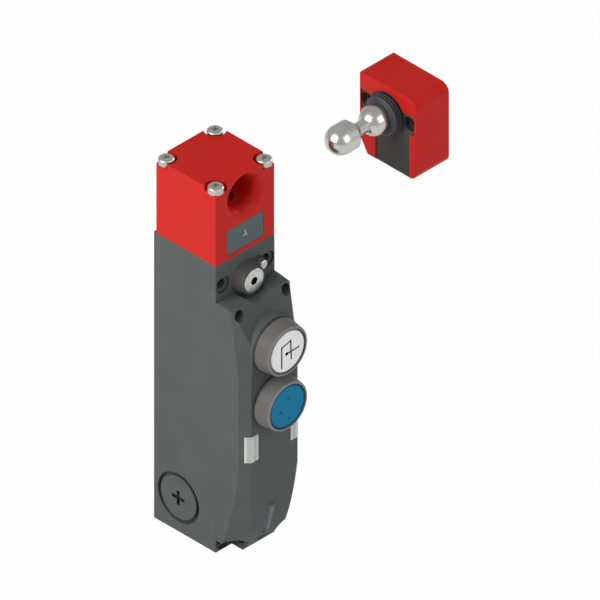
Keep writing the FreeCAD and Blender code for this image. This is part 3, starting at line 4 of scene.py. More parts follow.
import bpy
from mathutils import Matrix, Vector

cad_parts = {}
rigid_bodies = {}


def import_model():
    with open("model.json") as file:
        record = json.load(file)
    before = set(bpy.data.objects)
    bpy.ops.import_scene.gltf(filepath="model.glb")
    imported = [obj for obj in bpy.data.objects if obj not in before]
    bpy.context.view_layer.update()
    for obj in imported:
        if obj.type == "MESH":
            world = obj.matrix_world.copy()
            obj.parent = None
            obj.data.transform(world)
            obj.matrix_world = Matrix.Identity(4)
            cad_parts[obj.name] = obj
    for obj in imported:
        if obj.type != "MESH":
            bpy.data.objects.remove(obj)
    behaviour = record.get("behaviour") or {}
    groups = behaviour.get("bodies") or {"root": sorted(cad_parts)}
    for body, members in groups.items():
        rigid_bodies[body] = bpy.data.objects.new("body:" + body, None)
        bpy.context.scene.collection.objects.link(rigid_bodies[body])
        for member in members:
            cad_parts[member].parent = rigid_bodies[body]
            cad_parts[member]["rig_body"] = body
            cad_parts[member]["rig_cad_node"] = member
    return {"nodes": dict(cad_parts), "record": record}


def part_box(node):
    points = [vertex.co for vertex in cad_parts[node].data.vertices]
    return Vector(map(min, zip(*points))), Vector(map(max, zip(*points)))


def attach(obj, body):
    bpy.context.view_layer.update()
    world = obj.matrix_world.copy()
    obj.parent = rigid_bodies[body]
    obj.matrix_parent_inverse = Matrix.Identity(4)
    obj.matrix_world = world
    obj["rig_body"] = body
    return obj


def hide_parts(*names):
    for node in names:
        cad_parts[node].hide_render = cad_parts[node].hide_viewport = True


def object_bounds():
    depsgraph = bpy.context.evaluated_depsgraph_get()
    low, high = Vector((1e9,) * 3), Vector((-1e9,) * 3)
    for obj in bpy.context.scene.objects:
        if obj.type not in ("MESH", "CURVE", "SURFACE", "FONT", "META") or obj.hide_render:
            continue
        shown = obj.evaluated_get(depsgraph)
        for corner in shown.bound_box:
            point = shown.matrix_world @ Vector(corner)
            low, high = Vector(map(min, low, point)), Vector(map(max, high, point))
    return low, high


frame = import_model()
CAD_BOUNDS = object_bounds()
NODES = frame["nodes"]

bl_info = {
    "name": "Tongue interlock switch",
    "version": (1, 0, 0),
    "blender": (4, 5, 0),
    "location": "View3D > Sidebar > Switch",
    "description": "Finishes and fine detail of a guard-locking switch and its actuator",
    "category": "Object",
}

MM = 0.001
X, Y, Z = 0, 1, 2
LOW, HIGH = 0, 1
WHITE = (1.0, 1.0, 1.0)

# How a copy of a CAD node is merged, flattened, rounded and shaded
MERGE_GAP = 0.002 * MM
FLAT_ANGLE = math.radians(0.4)
EDGE_ANGLE = math.radians(28)
SMOOTH_ANGLE = math.radians(38)

# Upright edges of the housing and the head, drawn out to sharper ones
BODY_EDGE_R = 1.2 * MM
HEAD_EDGE_R = 1.8 * MM
UPRIGHT_TOLERANCE = 0.05 * MM

# Upper corners of the cover: its ledge, and the slope in front of it
SHOULDER_R = 4.5 * MM
SHOULDER_EASE = 0.55
SHOULDER_TOLERANCE = 0.1 * MM
LEDGE_DEPTH = 10.5 * MM
LEDGE_MARGIN = 0.01 * MM
SLOPE_RUN = 9.4 / 22.6

# Springs are short by a little more than the joint's travel
BUTTON_TRAVEL = 2.6 * MM
BOLT_TRAVEL = 5.1 * MM

# Places that take painted shade or a painted highlight
LIP_DEPTH = 0.55 * MM
CHIN_RIB_HALF = 2.1 * MM
CHIN_RIB_FOOT, CHIN_RIB_TOP = -71.5 * MM, -50.5 * MM
FIXING_CENTRES = ((-56.45, 120.5), (-27.45, 120.5))
FIXING_RECESS_R = 4.3 * MM
PLUG_CROSS_DEPTH = 0.4 * MM
PLUG_CROSS_REACH = 4.5 * MM
SOCKET_DEPTH = 0.5 * MM
SOCKET_REACH = 2.4 * MM

# Printed signs, in millimetres across and up from the middle of the face they are on
PRINT_T = 0.06 * MM
DOT_SIDES = 24
ARROW_WIDTH = 0.8 * MM
ENTRY_ARROW = (((0, 1.7), (0, -1.7)), ((-1.1, -0.6), (0, -1.7)), ((1.1, -0.6), (0, -1.7)))
DOOR_CORNERS = ((-4.0, -8.0), (-4.0, 3.8), (2.1, 5.4), (2.45, -5.3))
DOOR_HANDLE = ((-0.6, -1.2), (7.5, -0.8))
DOOR_KNOB = (-0.6, -1.2, 1.0)
RESET_DOTS = ((-4.5, -1.5, 0.9), (0.9, -7.2, 0.8), (0.75, 4.3, 0.7))

# Repeats a metre of the textures
PLASTIC_CLOUDS, PLASTIC_GRAIN = 55, 2600
METAL_CLOUDS, METAL_MARKS = 160, 1500
RUBBER_CLOUDS = 400
WINDOW_RIBS, WINDOW_GRAIN = 95, 900
FLOOR_CLOUDS = 3

# Colours of small and inner pieces, and the painted shade of recesses
PLATE_GREY = (0.095, 0.125, 0.13)
PLATE_MARK = (0.38, 0.4, 0.42)
# Painted shade for recesses and sockets, where shadow falls
SHADE = (0.012, 0.012, 0.012)
FERRITE = (0.04, 0.04, 0.042)
CONTACT_BLACK = (0.02, 0.02, 0.021)
RELAY_BLACK = (0.015, 0.015, 0.016)
TRANSPONDER_BLACK = (0.02, 0.02, 0.02)
TERMINAL_GREY = (0.2, 0.23, 0.2)
BOARD_GREEN = (0.015, 0.1, 0.04)
COIL_BROWN = (0.36, 0.12, 0.05)
BRONZE = (0.55, 0.36, 0.17)
BARE_STEEL = (0.55, 0.55, 0.54)
SPRING_STEEL = (0.5, 0.5, 0.48)

# Floor, even light and lamps
FLOOR_SIZE = 12.0
FLOOR_GAP = 0.1 * MM
FLOOR_TONES = ((0.86, 0.86, 0.86), (0.88, 0.88, 0.88))
FLOOR_ROUGHNESS = 0.9
FLOOR_SEEN = 0.985
FLOOR_MIRRORED = 0.42
SKY_SEEN = 0.99
SKY_MIRRORED = 0.5
FILL_TINT = (0.96, 1.0, 1.06)
# Each lamp's size, azimuth, elevation, distance and tint
LAMPS = {
    "key": (0.9, -100, 32, 1.4, WHITE),
    "fill": (1.2, 10, 30, 1.6, FILL_TINT),
    "rim": (0.5, 78, 18, 1.5, WHITE),
}

# Camera
VIEW_AZIMUTH = -45.0
VIEW_ELEVATION = math.degrees(math.asin(1 / math.sqrt(3)))
VIEW_DISTANCE = 3.0
VIEW_WIDTH = 0.288
VIEW_REACH = 50.0
VIEW_AIM = Vector((2.4, 8.1, -2.2)) * MM


# ---- settings that a user would change ----------------------------------------------------------


def colour(name, description, default):
    return bpy.props.FloatVectorProperty(
        name=name, description=description, default=default, subtype="COLOR", min=0.0, max=1.0
    )


def length(name, description, default):
    return bpy.props.FloatProperty(
        name=name, description=description, default=default, min=0.0, unit="LENGTH", precision=5
    )


def lamp_power(name, description, default):
    return bpy.props.FloatProperty(
        name=name, description=description, default=default, min=0.0, unit="POWER"
    )


class SwitchColours(bpy.types.PropertyGroup):
    """Colours of the plastics, rubber, metals and prints"""

    body: colour("Body", "Glass-filled plastic of the housing", (0.084, 0.095, 0.09))
    cover: colour("Cover", "Plastic of the front cover", (0.081, 0.092, 0.092))
    red: colour("Red", "Head and actuator shell", (0.53, 0.015, 0.01))
    collar: colour("Collars", "Button collars and release boss", (0.128, 0.121, 0.112))
    rim: colour("Cap rims", "Rim round the upper button's disc", (0.23, 0.225, 0.22))
    white: colour("White disc", "Disc of the upper button", (0.84, 0.84, 0.84))
    blue: colour("Blue disc", "Disc of the lower button", (0.0, 0.17, 0.33))
    window: colour("Windows", "Frosted indicator windows", (0.5, 0.52, 0.47))
    core: colour("Actuator core", "Dark plastic in the actuator's face", (0.06, 0.053, 0.047))
    rubber: colour("Rubber", "Boot and seals", (0.028, 0.03, 0.034))
    ink: colour("Ink", "Strokes of the upper button's sign", (0.012, 0.012, 0.012))
    steel: colour("Pin steel", "Turned and polished pin", (0.62, 0.61, 0.57))
    nickel: colour("Nickel", "Release rotor and the pin's nut", (0.62, 0.64, 0.6))
    zinc: colour("Zinc", "Plated screws", (0.55, 0.53, 0.5))


class SwitchSizes(bpy.types.PropertyGroup):
    """Roundings and line width"""

    body_edge: length("Body edge", "Rounding of the housing's edges", 0.35 * MM)
    cover_edge: length("Cover edge", "Rounding of the cover's edges", 0.7 * MM)
    head_edge: length("Head edge", "Rounding of the head's edges", 0.45 * MM)
    fine_edge: length("Fine edge", "Rounding of small plastic parts", 0.2 * MM)
    stroke: length("Stroke", "Line width of the upper button's sign", 0.85 * MM)


class StudioSettings(bpy.types.PropertyGroup):
    """Power of the lamps and of the even light"""

    key: lamp_power("Key", "Power of the left-hand lamp", 16.4)
    fill: lamp_power("Fill", "Power of the front lamp", 7.2)
    rim: lamp_power("Rim", "Power of the right-hand lamp", 4.0)
    sky: bpy.props.FloatProperty(
        name="Sky", description="Strength of the even light", default=0.33, min=0.0
    )


def palette():
    return bpy.context.scene.switch_colours


# ---- what the frame and a mesh tell -------------------------------------------------------------


def front_of(node):
    """Centre of the front face of a CAD node."""
    low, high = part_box(node)
    centre = (low + high) / 2
    return Vector((centre.x, low.y, centre.z))


def owner(node):
    """Name of the body that a CAD node moves with."""
    for body, members in frame["record"]["behaviour"]["bodies"].items():
        if node in members:
            return body
    raise ValueError(node)


def piece_box(piece):
    """Lowest and highest corner of a finished piece."""
    corners = [vertex.co for vertex in piece.data.vertices]
    low = Vector(min(corner[axis] for corner in corners) for axis in (X, Y, Z))
    high = Vector(max(corner[axis] for corner in corners) for axis in (X, Y, Z))
    return low, high


# ---- selecting and finishing --------------------------------------------------------------------


def select_only(*objects):
    bpy.ops.object.select_all(action="DESELECT")
    for item in objects:
        item.select_set(True)
    bpy.context.view_layer.objects.active = objects[0]


def apply_modifier(modifier):
    bpy.ops.object.modifier_apply(modifier=modifier.name)


def settle_place():
    """Moves the active object's place, turn and scale into its mesh."""
    bpy.ops.object.transform_apply(location=True, rotation=True, scale=True)


def round_edges(piece, width, segments):
    bevel = piece.modifiers.new("edges", "BEVEL")
    bevel.width = width
    bevel.segments = segments
    bevel.limit_method = "ANGLE"
    bevel.angle_limit = EDGE_ANGLE
    bevel.miter_outer = "MITER_ARC"
    bevel.use_clamp_overlap = True
    apply_modifier(bevel)


def flatten_shading(piece):
    """Smooth shading that keeps large faces flat and small roundings soft."""
    select_only(piece)
    bpy.ops.object.shade_smooth_by_angle(angle=SMOOTH_ANGLE)
    weights = piece.modifiers.new("normals", "WEIGHTED_NORMAL")
    weights.mode = "FACE_AREA"
    weights.keep_sharp = True
    apply_modifier(weights)


def soft_copy(node, width, segments=2, reshape=None, body=None):
    """Copy of a CAD node with merged points and rounded edges, which stands for the node."""
    piece = NODES[node].copy()
    piece.data = NODES[node].data.copy()
    piece.name = node + "_finished"
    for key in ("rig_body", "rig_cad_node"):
        if key in piece:
            del piece[key]
    piece.parent = None
    bpy.context.scene.collection.objects.link(piece)
    select_only(piece)
    bpy.ops.object.mode_set(mode="EDIT")
    bpy.ops.mesh.select_all(action="SELECT")
    bpy.ops.mesh.customdata_custom_splitnormals_clear()
    bpy.ops.mesh.remove_doubles(threshold=MERGE_GAP)
    if reshape:
        bpy.ops.object.mode_set(mode="OBJECT")
        reshape(piece)
        bpy.ops.object.mode_set(mode="EDIT")
        bpy.ops.mesh.select_all(action="SELECT")
    bpy.ops.mesh.dissolve_limited(angle_limit=FLAT_ANGLE, use_dissolve_boundaries=False)
    bpy.ops.object.mode_set(mode="OBJECT")
    if width:
        round_edges(piece, width, segments)
    flatten_shading(piece)
    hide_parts(node)
    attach(piece, body or owner(node))
    return piece


# ---- reshaping of the copies --------------------------------------------------------------------


def tighten_uprights(radius):
    """Reshaper that draws a block's rounded upright edges out to sharp ones."""

    def reshape(piece):
        low, high = piece_box(piece)
        middle, half = (low + high) / 2, (high - low) / 2
        for vertex in piece.data.vertices:
            away = vertex.co - middle
            across = abs(away.x) - (half.x - radius)
            along = abs(away.y) - (half.y - radius)
            off_arc = abs(math.hypot(across, along) - radius)
            if across <= 0 or along <= 0 or off_arc > UPRIGHT_TOLERANCE:
                continue
            grow = radius / max(across, along) - 1
            vertex.co.x += math.copysign(across * grow, away.x)
            vertex.co.y += math.copysign(along * grow, away.y)

    return reshape


def tighten_shoulders(piece):
    """Draws the cover's rounded upper corners out, and keeps the slope in front of them flat."""
    low, high = piece_box(piece)
    for vertex in piece.data.vertices:
        place = vertex.co
        across = abs(place.x) - (high.x - SHOULDER_R)
        up = place.z - (high.z - SHOULDER_R)
        off_arc = abs(math.hypot(across, up) - SHOULDER_R)
        if across <= 0 or up <= 0 or off_arc > SHOULDER_TOLERANCE:
            continue
        ahead = (high.y - place.y) / LEDGE_DEPTH
        grow = (SHOULDER_R / max(across, up) - 1) * (1 - SHOULDER_EASE * min(ahead, 1))
        place.x += math.copysign(across * grow, place.x)
        place.z += up * grow
        if place.y < high.y - LEDGE_DEPTH - LEDGE_MARGIN:
            place.y += up * grow * SLOPE_RUN


def fitted_spring(node, axis, fixed, travel, body):
    """Spring copy that is short by the joint's travel, so that it is clear at both limits."""

    def shorten(piece):
        low, high = piece_box(piece)
        start = (low, high)[fixed][axis]
        span = high[axis] - low[axis]
        for vertex in piece.data.vertices:
            vertex.co[axis] = start + (vertex.co[axis] - start) * (span - travel) / span

    return soft_copy(node, 0, reshape=shorten, body=body)


# ---- giving materials and printing --------------------------------------------------------------


def give(piece, material):
    """Gives a finished piece its one material."""
    piece.data.materials.clear()
    piece.data.materials.append(material)


def finish_node(node, material):
    """Gives a CAD node that keeps its own shape a material."""
    slots = NODES[node].data.materials
    for index in range(len(slots)):
        slots[index] = material


def tint_faces(piece, material, chosen):
    """Gives the faces whose points all pass a test another material."""
    piece.data.materials.append(material)
    index = len(piece.data.materials) - 1
    points = piece.data.vertices
    for face in piece.data.polygons:
        if all(chosen(points[corner].co) for corner in face.vertices):
            face.material_index = index


def paint_recess_shade(piece, axis, outer, depth, reach, material):
    """Gives faces deeper than an outer plane, near the piece's own axis, a material of painted
    shade.
    """
    piece.data.materials.append(material)
    index = len(piece.data.materials) - 1
    others = [other for other in (X, Y, Z) if other != axis]
    low, high = piece_box(piece)
    centre = (low + high) / 2
    for face in piece.data.polygons:
        away = math.hypot(*(face.center[other] - centre[other] for other in others))
        if abs(face.center[axis] - outer) > depth and away < reach:
            face.material_index = index


def printed(name, strokes, dots, width, node, ink):
    """Sign of strokes and dots on the front of a node, made one piece that rides with the node."""
    face = front_of(node)
    marks = []
    for start, end in strokes:
        run = (Vector(end) - Vector(start)) * MM
        middle = (Vector(start) + Vector(end)) / 2 * MM
        bpy.ops.mesh.primitive_cube_add(
            size=1,
            location=(face.x + middle.x, face.y, face.z + middle.y),
            rotation=(0, -math.atan2(run.y, run.x), 0),
        )
        bar = bpy.context.active_object
        bar.scale = (run.length + width, PRINT_T, width)
        settle_place()
        marks.append(bar)
    for across, up, radius in dots:
        bpy.ops.mesh.primitive_cylinder_add(
            vertices=DOT_SIDES,
            radius=radius * MM,
            depth=PRINT_T,
            location=face + Vector((across, 0, up)) * MM,
            rotation=(math.pi / 2, 0, 0),
        )
        marks.append(bpy.context.active_object)
        settle_place()
    select_only(*marks)
    bpy.ops.object.join()
    piece = bpy.context.active_object
    piece.name = name
    give(piece, ink)
    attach(piece, owner(node))


# ---- materials ----------------------------------------------------------------------------------


def new_material(name):
    material = bpy.data.materials.new(name)
    material.use_nodes = True
    tree = material.node_tree
    return material, tree, tree.nodes["Principled BSDF"]


def object_noise(tree, repeats, detail=2.0, stretch=(1, 1, 1)):
    """Noise texture on Object coordinates."""
    place = tree.nodes.new("ShaderNodeTexCoord")
    mapping = tree.nodes.new("ShaderNodeMapping")
    mapping.inputs["Scale"].default_value = stretch
    noise = tree.nodes.new("ShaderNodeTexNoise")
    noise.inputs["Scale"].default_value = repeats
    noise.inputs["Detail"].default_value = detail
    tree.links.new(place.outputs["Object"], mapping.inputs["Vector"])
    tree.links.new(mapping.outputs["Vector"], noise.inputs["Vector"])
    return noise.outputs["Fac"]


def tone(tree, shader, source, low, high, low_at=0.3, high_at=0.7):
    """Base colour that runs between two colours with a texture."""
    node = tree.nodes.new("ShaderNodeValToRGB")
    node.color_ramp.elements[0].position = low_at
    node.color_ramp.elements[1].position = high_at
    node.color_ramp.elements[0].color = (*low, 1)
    node.color_ramp.elements[1].color = (*high, 1)
    tree.links.new(source, node.inputs["Fac"])
    tree.links.new(node.outputs["Color"], shader.inputs["Base Color"])


def value_range(tree, source, low, high):
    """Value between two limits that follows a texture or a kind of ray."""
    node = tree.nodes.new("ShaderNodeMapRange")
    node.inputs["To Min"].default_value = low
    node.inputs["To Max"].default_value = high
    tree.links.new(source, node.inputs["Value"])
    return node.outputs["Result"]


def gloss(tree, shader, source, low, high):
    """Roughness between two limits that follows a texture."""
    tree.links.new(value_range(tree, source, low, high), shader.inputs["Roughness"])


def bump(tree, shader, source, distance):
    node = tree.nodes.new("ShaderNodeBump")
    node.inputs["Distance"].default_value = distance
    node.inputs["Strength"].default_value = 1.0
    tree.links.new(source, node.inputs["Height"])
    tree.links.new(node.outputs["Normal"], shader.inputs["Normal"])


def shaded(tint, factor):
    return tuple(min(1.0, channel * factor) for channel in tint)


def moulded_plastic(name, tint, roughness=0.5, spread=0.06, grain=0.02 * MM):
    """Moulded plastic: faint clouds of tone, spark-eroded grain and a slightly uneven gloss."""
    material, tree, shader = new_material(name)
    clouds = object_noise(tree, PLASTIC_CLOUDS, 3.0)
    tone(tree, shader, clouds, shaded(tint, 1 - spread), shaded(tint, 1 + spread))
    fine = object_noise(tree, PLASTIC_GRAIN)
    gloss(tree, shader, fine, roughness - 0.06, roughness + 0.06)
    bump(tree, shader, fine, grain)
    shader.inputs["Specular IOR Level"].default_value = 0.1
    return material


def metal(name, tint, roughness=0.28, stretch=(1, 1, 1), marks=0.01 * MM):
    """Machined or plated metal with fine marks along one direction."""
    material, tree, shader = new_material(name)
    tone(
        tree, shader, object_noise(tree, METAL_CLOUDS, 3.0), shaded(tint, 0.9), shaded(tint, 1.06)
    )
    shader.inputs["Metallic"].default_value = 1.0
    fine = object_noise(tree, METAL_MARKS, stretch=stretch)
    gloss(tree, shader, fine, roughness - 0.07, roughness + 0.09)
    bump(tree, shader, fine, marks)
    return material


def soft_rubber(name, tint):
    """Matt rubber with soft clouds of tone."""
    material, tree, shader = new_material(name)
    clouds = object_noise(tree, RUBBER_CLOUDS, 3.0)
    tone(tree, shader, clouds, shaded(tint, 0.85), shaded(tint, 1.2))
    gloss(tree, shader, clouds, 0.45, 0.7)
    bump(tree, shader, clouds, 0.02 * MM)
    return material


def frosted_window(name, tint):
    """Milky window with upright ribs behind its face."""
    material, tree, shader = new_material(name)
    place = tree.nodes.new("ShaderNodeTexCoord")
    ribs = tree.nodes.new("ShaderNodeTexWave")
    ribs.bands_direction = "X"
    ribs.inputs["Scale"].default_value = WINDOW_RIBS
    ribs.inputs["Distortion"].default_value = 0.0
    tree.links.new(place.outputs["Object"], ribs.inputs["Vector"])
    tone(tree, shader, ribs.outputs["Fac"], shaded(tint, 0.82), shaded(tint, 1.1), 0.2, 0.8)
    shader.inputs["Subsurface Weight"].default_value = 0.25
    shader.inputs["Subsurface Radius"].default_value = WHITE
    shader.inputs["Subsurface Scale"].default_value = 1.5 * MM
    fine = object_noise(tree, WINDOW_GRAIN)
    gloss(tree, shader, fine, 0.25, 0.4)
    bump(tree, shader, fine, 0.01 * MM)
    return material


def red_plastic(name):
    return moulded_plastic(name, palette().red, 0.38, spread=0.04, grain=0.012 * MM)


def spring_wire(name):
    return metal(name, SPRING_STEEL, 0.3)


# ---- operators: finishes of the CAD nodes -------------------------------------------------------


class SWITCH_OT_body(bpy.types.Operator):
    """Housing, conduit plugs and their seals"""

    bl_idname = "switch.body"
    bl_label = "Body"

    def execute(self, context):
        sizes = context.scene.switch_sizes
        plastic = moulded_plastic("housing_plastic", palette().body, 0.52)
        housing = soft_copy("housing", sizes.body_edge, reshape=tighten_uprights(BODY_EDGE_R))
        give(housing, plastic)
        plug_plastic = moulded_plastic("plug_plastic", palette().body)
        # Painted shade in the plugs' cross slots: a darker copy of the body colour
        slot_shade = moulded_plastic("plug_slot", shaded(palette().body, 0.3), 0.6)
        for side, outer in (("left", LOW), ("right", HIGH)):
            plug = soft_copy("entry_plug_" + side, sizes.fine_edge)
            give(plug, plug_plastic)
            face = piece_box(plug)[outer].x
            paint_recess_shade(plug, X, face, PLUG_CROSS_DEPTH, PLUG_CROSS_REACH, slot_shade)
        rubber = soft_rubber("seal_rubber", palette().rubber)
        seals = ("entry_seal_left", "entry_seal_right", "cover_seal", "head_seal")
        for node in (*seals, "upper_collar_gasket", "lower_collar_gasket"):
            finish_node(node, rubber)
        return {"FINISHED"}


class SWITCH_OT_cover(bpy.types.Operator):
    """Front cover and its indicator windows"""

    bl_idname = "switch.cover"
    bl_label = "Cover"

    @staticmethod
    def on_chin_rib(place):
        return abs(place.x) < CHIN_RIB_HALF and CHIN_RIB_FOOT < place.z < CHIN_RIB_TOP

    def execute(self, context):
        sizes = context.scene.switch_sizes
        cover = soft_copy("front_cover", sizes.cover_edge, 3, reshape=tighten_shoulders)
        give(cover, moulded_plastic("cover_plastic", palette().cover, 0.46))
        # Painted highlight on the chin rib: a lighter copy of the cover colour
        rib = moulded_plastic("rib_plastic", shaded(palette().cover, 1.9), 0.4)
        tint_faces(cover, rib, self.on_chin_rib)
        window = frosted_window("window_plastic", palette().window)
        for side in ("left", "right"):
            give(soft_copy("indicator_window_" + side, sizes.fine_edge), window)
        return {"FINISHED"}


class SWITCH_OT_head(bpy.types.Operator):
    """Turnable head with its plate, liner and reader"""

    bl_idname = "switch.head"
    bl_label = "Head"

    def execute(self, context):
        sizes = context.scene.switch_sizes
        red = red_plastic("red_plastic")
        head = soft_copy("head", sizes.head_edge, reshape=tighten_uprights(HEAD_EDGE_R))
        give(head, red)
        finish_node("bore_sleeve", red)
        plate = soft_copy("head_plate", sizes.fine_edge)
        give(plate, moulded_plastic("plate_plastic", PLATE_GREY, 0.4))
        pale = moulded_plastic("plate_mark", PLATE_MARK)
        printed("entry_arrow", ENTRY_ARROW, (), ARROW_WIDTH, "head_plate", pale)
        finish_node("reader_antenna", moulded_plastic("ferrite", FERRITE, 0.7))
        return {"FINISHED"}


class SWITCH_OT_buttons(bpy.types.Operator):
    """Collars, caps, discs, nuts and contact blocks of the two push buttons"""

    bl_idname = "switch.buttons"
    bl_label = "Buttons"

    def execute(self, context):
        colours = palette()
        sizes = context.scene.switch_sizes
        taupe = moulded_plastic("collar_plastic", colours.collar, 0.42)
        # Painted highlight on the collars' front lip: a lighter copy of the collar colour
        lip = moulded_plastic("lip_plastic", shaded(colours.collar, 1.7), 0.36)
        dark = moulded_plastic("contact_plastic", CONTACT_BLACK)
        nut = moulded_plastic("nut_plastic", colours.cover)
        wire = spring_wire("spring_wire")
        discs = {
            "upper": moulded_plastic("white_disc", colours.white, 0.35, 0.02, 0.006 * MM),
            "lower": moulded_plastic("blue_disc", colours.blue, 0.32, 0.04, 0.006 * MM),
        }
        rims = {
            "upper": moulded_plastic("rim_plastic", colours.rim, 0.4),
            "lower": moulded_plastic("blue_rim", shaded(colours.blue, 0.6), 0.4),
        }
        for level in ("upper", "lower"):
            collar = soft_copy(level + "_button_collar", sizes.fine_edge)
            give(collar, taupe)
            lip_back = piece_box(collar)[LOW].y + LIP_DEPTH
            tint_faces(collar, lip, lambda place: place.y < lip_back)
            give(soft_copy(level + "_button_cap", sizes.fine_edge / 2), rims[level])
            give(soft_copy(level + "_button_disc", sizes.fine_edge), discs[level])
            finish_node(level + "_contact_block", dark)
            finish_node(level + "_collar_nut", nut)
            button = owner(level + "_button_cap")
            spring = fitted_spring(level + "_button_spring", Y, LOW, BUTTON_TRAVEL, button)
            give(spring, wire)
        door = (*zip(DOOR_CORNERS, DOOR_CORNERS[1:]), DOOR_HANDLE)
        ink = moulded_plastic("ink", colours.ink)
        printed("release_sign", door, (DOOR_KNOB,), sizes.stroke, "upper_button_disc", ink)
        marks = moulded_plastic("blue_marks", shaded(colours.blue, 0.45), 0.4)
        printed("reset_marks", (), RESET_DOTS, sizes.stroke, "lower_button_disc", marks)
        return {"FINISHED"}


class SWITCH_OT_release(bpy.types.Operator):
    """Auxiliary release: boss, rotor and seal screw, and all other screws"""

    bl_idname = "switch.release"
    bl_label = "Release"

    def execute(self, context):
        sizes = context.scene.switch_sizes
        # Painted shade on the release boss: a darker copy of the collar colour
        boss = moulded_plastic("boss_plastic", shaded(palette().collar, 0.55), 0.45)
        give(soft_copy("release_boss", sizes.fine_edge), boss)
        rotor = soft_copy("release_rotor", sizes.fine_edge / 2)
        give(rotor, metal("nickel", palette().nickel, 0.3))
        face = piece_box(rotor)[LOW].y
        # Painted shade in the rotor's socket
        socket = moulded_plastic("socket_shade", SHADE, 0.6)
        paint_recess_shade(rotor, Y, face, SOCKET_DEPTH, SOCKET_REACH, socket)
        zinc = metal("zinc_plate", palette().zinc, 0.36)
        for place in ("head", "cover", "backplate", "terminal"):
            finish_node(place + "_screws", zinc)
        finish_node("release_seal_screw", zinc)
        return {"FINISHED"}


class SWITCH_OT_inside(bpy.types.Operator):
    """Lock mechanism and electronics inside the housing"""

    bl_idname = "switch.inside"
    bl_label = "Inside"

    def execute(self, context):
        steel = metal("machined_steel", BARE_STEEL, 0.3)
        for node in ("lock_bolt", "solenoid_plunger", "solenoid_yoke"):
            finish_node(node, steel)
        spring = fitted_spring("lock_spring", Z, HIGH, BOLT_TRAVEL, owner("lock_spring"))
        give(spring, spring_wire("lock_spring_wire"))
        finish_node("bolt_guide_bush", metal("bronze", BRONZE, 0.4))
        finish_node("solenoid_coil", moulded_plastic("coil_tape", COIL_BROWN, 0.4))
        finish_node("circuit_board", moulded_plastic("board_lacquer", BOARD_GREEN, 0.3))
        finish_node("terminal_block", moulded_plastic("terminal_plastic", TERMINAL_GREY))
        finish_node("safety_relays", moulded_plastic("relay_plastic", RELAY_BLACK, 0.4))
        return {"FINISHED"}


class SWITCH_OT_actuator(bpy.types.Operator):
    """Actuator block: shell, core, boot, back plate and transponder"""

    bl_idname = "switch.actuator"
    bl_label = "Actuator"

    def execute(self, context):
        sizes = context.scene.switch_sizes
        shell = soft_copy("actuator_shell", sizes.fine_edge)
        give(shell, red_plastic("actuator_red"))
        # Painted shade in the recesses round the fixing holes
        shade = moulded_plastic("recess_shade", SHADE, 0.6)
        for centre in FIXING_CENTRES:
            hole = Vector(centre) * MM
            tint_faces(shell, shade, lambda place: (place.yz - hole).length < FIXING_RECESS_R)
        core = moulded_plastic("core_plastic", palette().core, 0.42)
        give(soft_copy("actuator_core", sizes.fine_edge), core)
        finish_node("actuator_backplate", core)
        finish_node("actuator_boot", soft_rubber("boot_rubber", palette().rubber))
        finish_node("transponder", moulded_plastic("transponder_plastic", TRANSPONDER_BLACK))
        return {"FINISHED"}


class SWITCH_OT_pin(bpy.types.Operator):
    """Turned pin and its nut"""

    bl_idname = "switch.pin"
    bl_label = "Pin"

    def execute(self, context):
        turned = (3.0, 0.3, 0.3)
        steel = metal("pin_steel", palette().steel, 0.25, turned, 0.004 * MM)
        finish_node("actuator_pin", steel)
        finish_node("actuator_pin_nut", metal("nut_nickel", palette().nickel, 0.3))
        return {"FINISHED"}


# ---- stage --------------------------------------------------------------------------------------


def outward(azimuth, elevation):
    """Direction from the object to a lamp or camera, azimuth measured from the front."""
    turn, rise = math.radians(azimuth), math.radians(elevation)
    level = math.cos(rise)
    return Vector((math.sin(turn) * level, -math.cos(turn) * level, math.sin(rise)))


def look_back(item, direction):
    item.rotation_euler = (-direction).to_track_quat("-Z", "Y").to_euler()


def floor_material():
    """Pale floor, near white to the eye and to reflections, which keeps the shadow."""
    material, tree, shader = new_material("pale_floor")
    tone(tree, shader, object_noise(tree, FLOOR_CLOUDS), *FLOOR_TONES)
    shader.inputs["Roughness"].default_value = FLOOR_ROUGHNESS
    glow = tree.nodes.new("ShaderNodeEmission")
    glow.inputs["Color"].default_value = (*WHITE, 1)
    path = tree.nodes.new("ShaderNodeLightPath")
    shares = tree.nodes.new("ShaderNodeMath")
    shares.operation = "MAXIMUM"
    rays = (("Is Camera Ray", FLOOR_SEEN), ("Is Glossy Ray", FLOOR_MIRRORED))
    for index, (ray, amount) in enumerate(rays):
        share = value_range(tree, path.outputs[ray], 0.0, amount)
        tree.links.new(share, shares.inputs[index])
    mix = tree.nodes.new("ShaderNodeMixShader")
    tree.links.new(shares.outputs[0], mix.inputs["Fac"])
    tree.links.new(shader.outputs["BSDF"], mix.inputs[1])
    tree.links.new(glow.outputs["Emission"], mix.inputs[2])
    tree.links.new(mix.outputs["Shader"], tree.nodes["Material Output"].inputs["Surface"])
    return material


def even_light(strength):
    """World that lights evenly, and shows to the eye and to reflections at strengths of its own."""
    world = bpy.data.worlds.new("studio")
    world.use_nodes = True
    tree = world.node_tree
    sky = tree.nodes["Background"]
    sky.inputs["Color"].default_value = (*WHITE, 1)
    path = tree.nodes.new("ShaderNodeLightPath")
    mirrored = value_range(tree, path.outputs["Is Glossy Ray"], strength, SKY_MIRRORED)
    seen = tree.nodes.new("ShaderNodeMapRange")
    seen.inputs["To Max"].default_value = SKY_SEEN
    tree.links.new(path.outputs["Is Camera Ray"], seen.inputs["Value"])
    tree.links.new(mirrored, seen.inputs["To Min"])
    tree.links.new(seen.outputs["Result"], sky.inputs["Strength"])
    return world


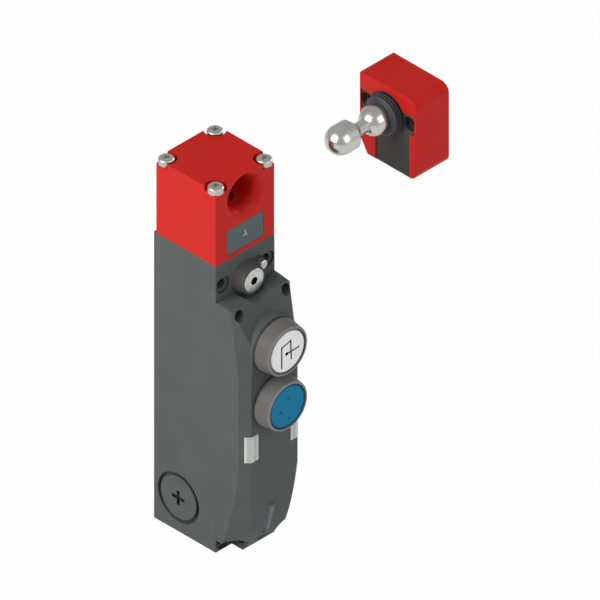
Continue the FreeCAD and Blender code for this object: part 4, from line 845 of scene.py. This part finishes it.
def area_lamp(name, power, size, azimuth, elevation, distance, tint, target):
    direction = outward(azimuth, elevation)
    bpy.ops.object.light_add(type="AREA", location=target + direction * distance)
    lamp = bpy.context.active_object
    lamp.name = name
    look_back(lamp, direction)
    lamp.data.energy = power
    lamp.data.size = size
    lamp.data.color = tint


class SWITCH_OT_stage(bpy.types.Operator):
    """Floor, lamps, even light and camera"""

    bl_idname = "switch.stage"
    bl_label = "Stage"

    def execute(self, context):
        scene = context.scene
        studio = scene.switch_studio
        low, high = CAD_BOUNDS
        centre = (low + high) / 2
        bpy.ops.object.select_all(action="DESELECT")
        bpy.ops.mesh.primitive_plane_add(size=FLOOR_SIZE, location=(0, 0, low.z - FLOOR_GAP))
        floor = context.active_object
        floor.name = "floor"
        settle_place()
        give(floor, floor_material())
        for name, setup in LAMPS.items():
            area_lamp(name + "_lamp", getattr(studio, name), *setup, centre)
        scene.world = even_light(studio.sky)
        direction = outward(VIEW_AZIMUTH, VIEW_ELEVATION)
        bpy.ops.object.camera_add(location=centre + VIEW_AIM + direction * VIEW_DISTANCE)
        camera = context.active_object
        look_back(camera, direction)
        camera.data.type = "ORTHO"
        camera.data.ortho_scale = VIEW_WIDTH
        camera.data.clip_end = VIEW_REACH
        scene.camera = camera
        scene.view_settings.view_transform = "Standard"
        return {"FINISHED"}


# ---- panel and registration ---------------------------------------------------------------------


class SWITCH_PT_panel(bpy.types.Panel):
    """Lists the settings and the steps that dress the switch"""

    bl_idname = "SWITCH_PT_panel"
    bl_label = "Interlock switch"
    bl_space_type = "VIEW_3D"
    bl_region_type = "UI"
    bl_category = "Switch"

    def draw(self, context):
        for attribute in SETTINGS:
            settings = getattr(context.scene, attribute)
            for name in settings.__annotations__:
                self.layout.prop(settings, name)
        for step in STEPS:
            self.layout.operator(step.bl_idname)


STEPS = (
    SWITCH_OT_body,
    SWITCH_OT_cover,
    SWITCH_OT_head,
    SWITCH_OT_buttons,
    SWITCH_OT_release,
    SWITCH_OT_inside,
    SWITCH_OT_actuator,
    SWITCH_OT_pin,
    SWITCH_OT_stage,
)
SETTINGS = {
    "switch_colours": SwitchColours,
    "switch_sizes": SwitchSizes,
    "switch_studio": StudioSettings,
}


def register():
    for item in (*SETTINGS.values(), *STEPS, SWITCH_PT_panel):
        bpy.utils.register_class(item)
    for name, group in SETTINGS.items():
        setattr(bpy.types.Scene, name, bpy.props.PointerProperty(type=group))


def unregister():
    for name in SETTINGS:
        delattr(bpy.types.Scene, name)
    for item in (SWITCH_PT_panel, *reversed(STEPS), *reversed(SETTINGS.values())):
        bpy.utils.unregister_class(item)


def main():
    register()
    for step in STEPS:
        group, action = step.bl_idname.split(".")
        getattr(getattr(bpy.ops, group), action)()


if __name__ == "__main__":
    main()
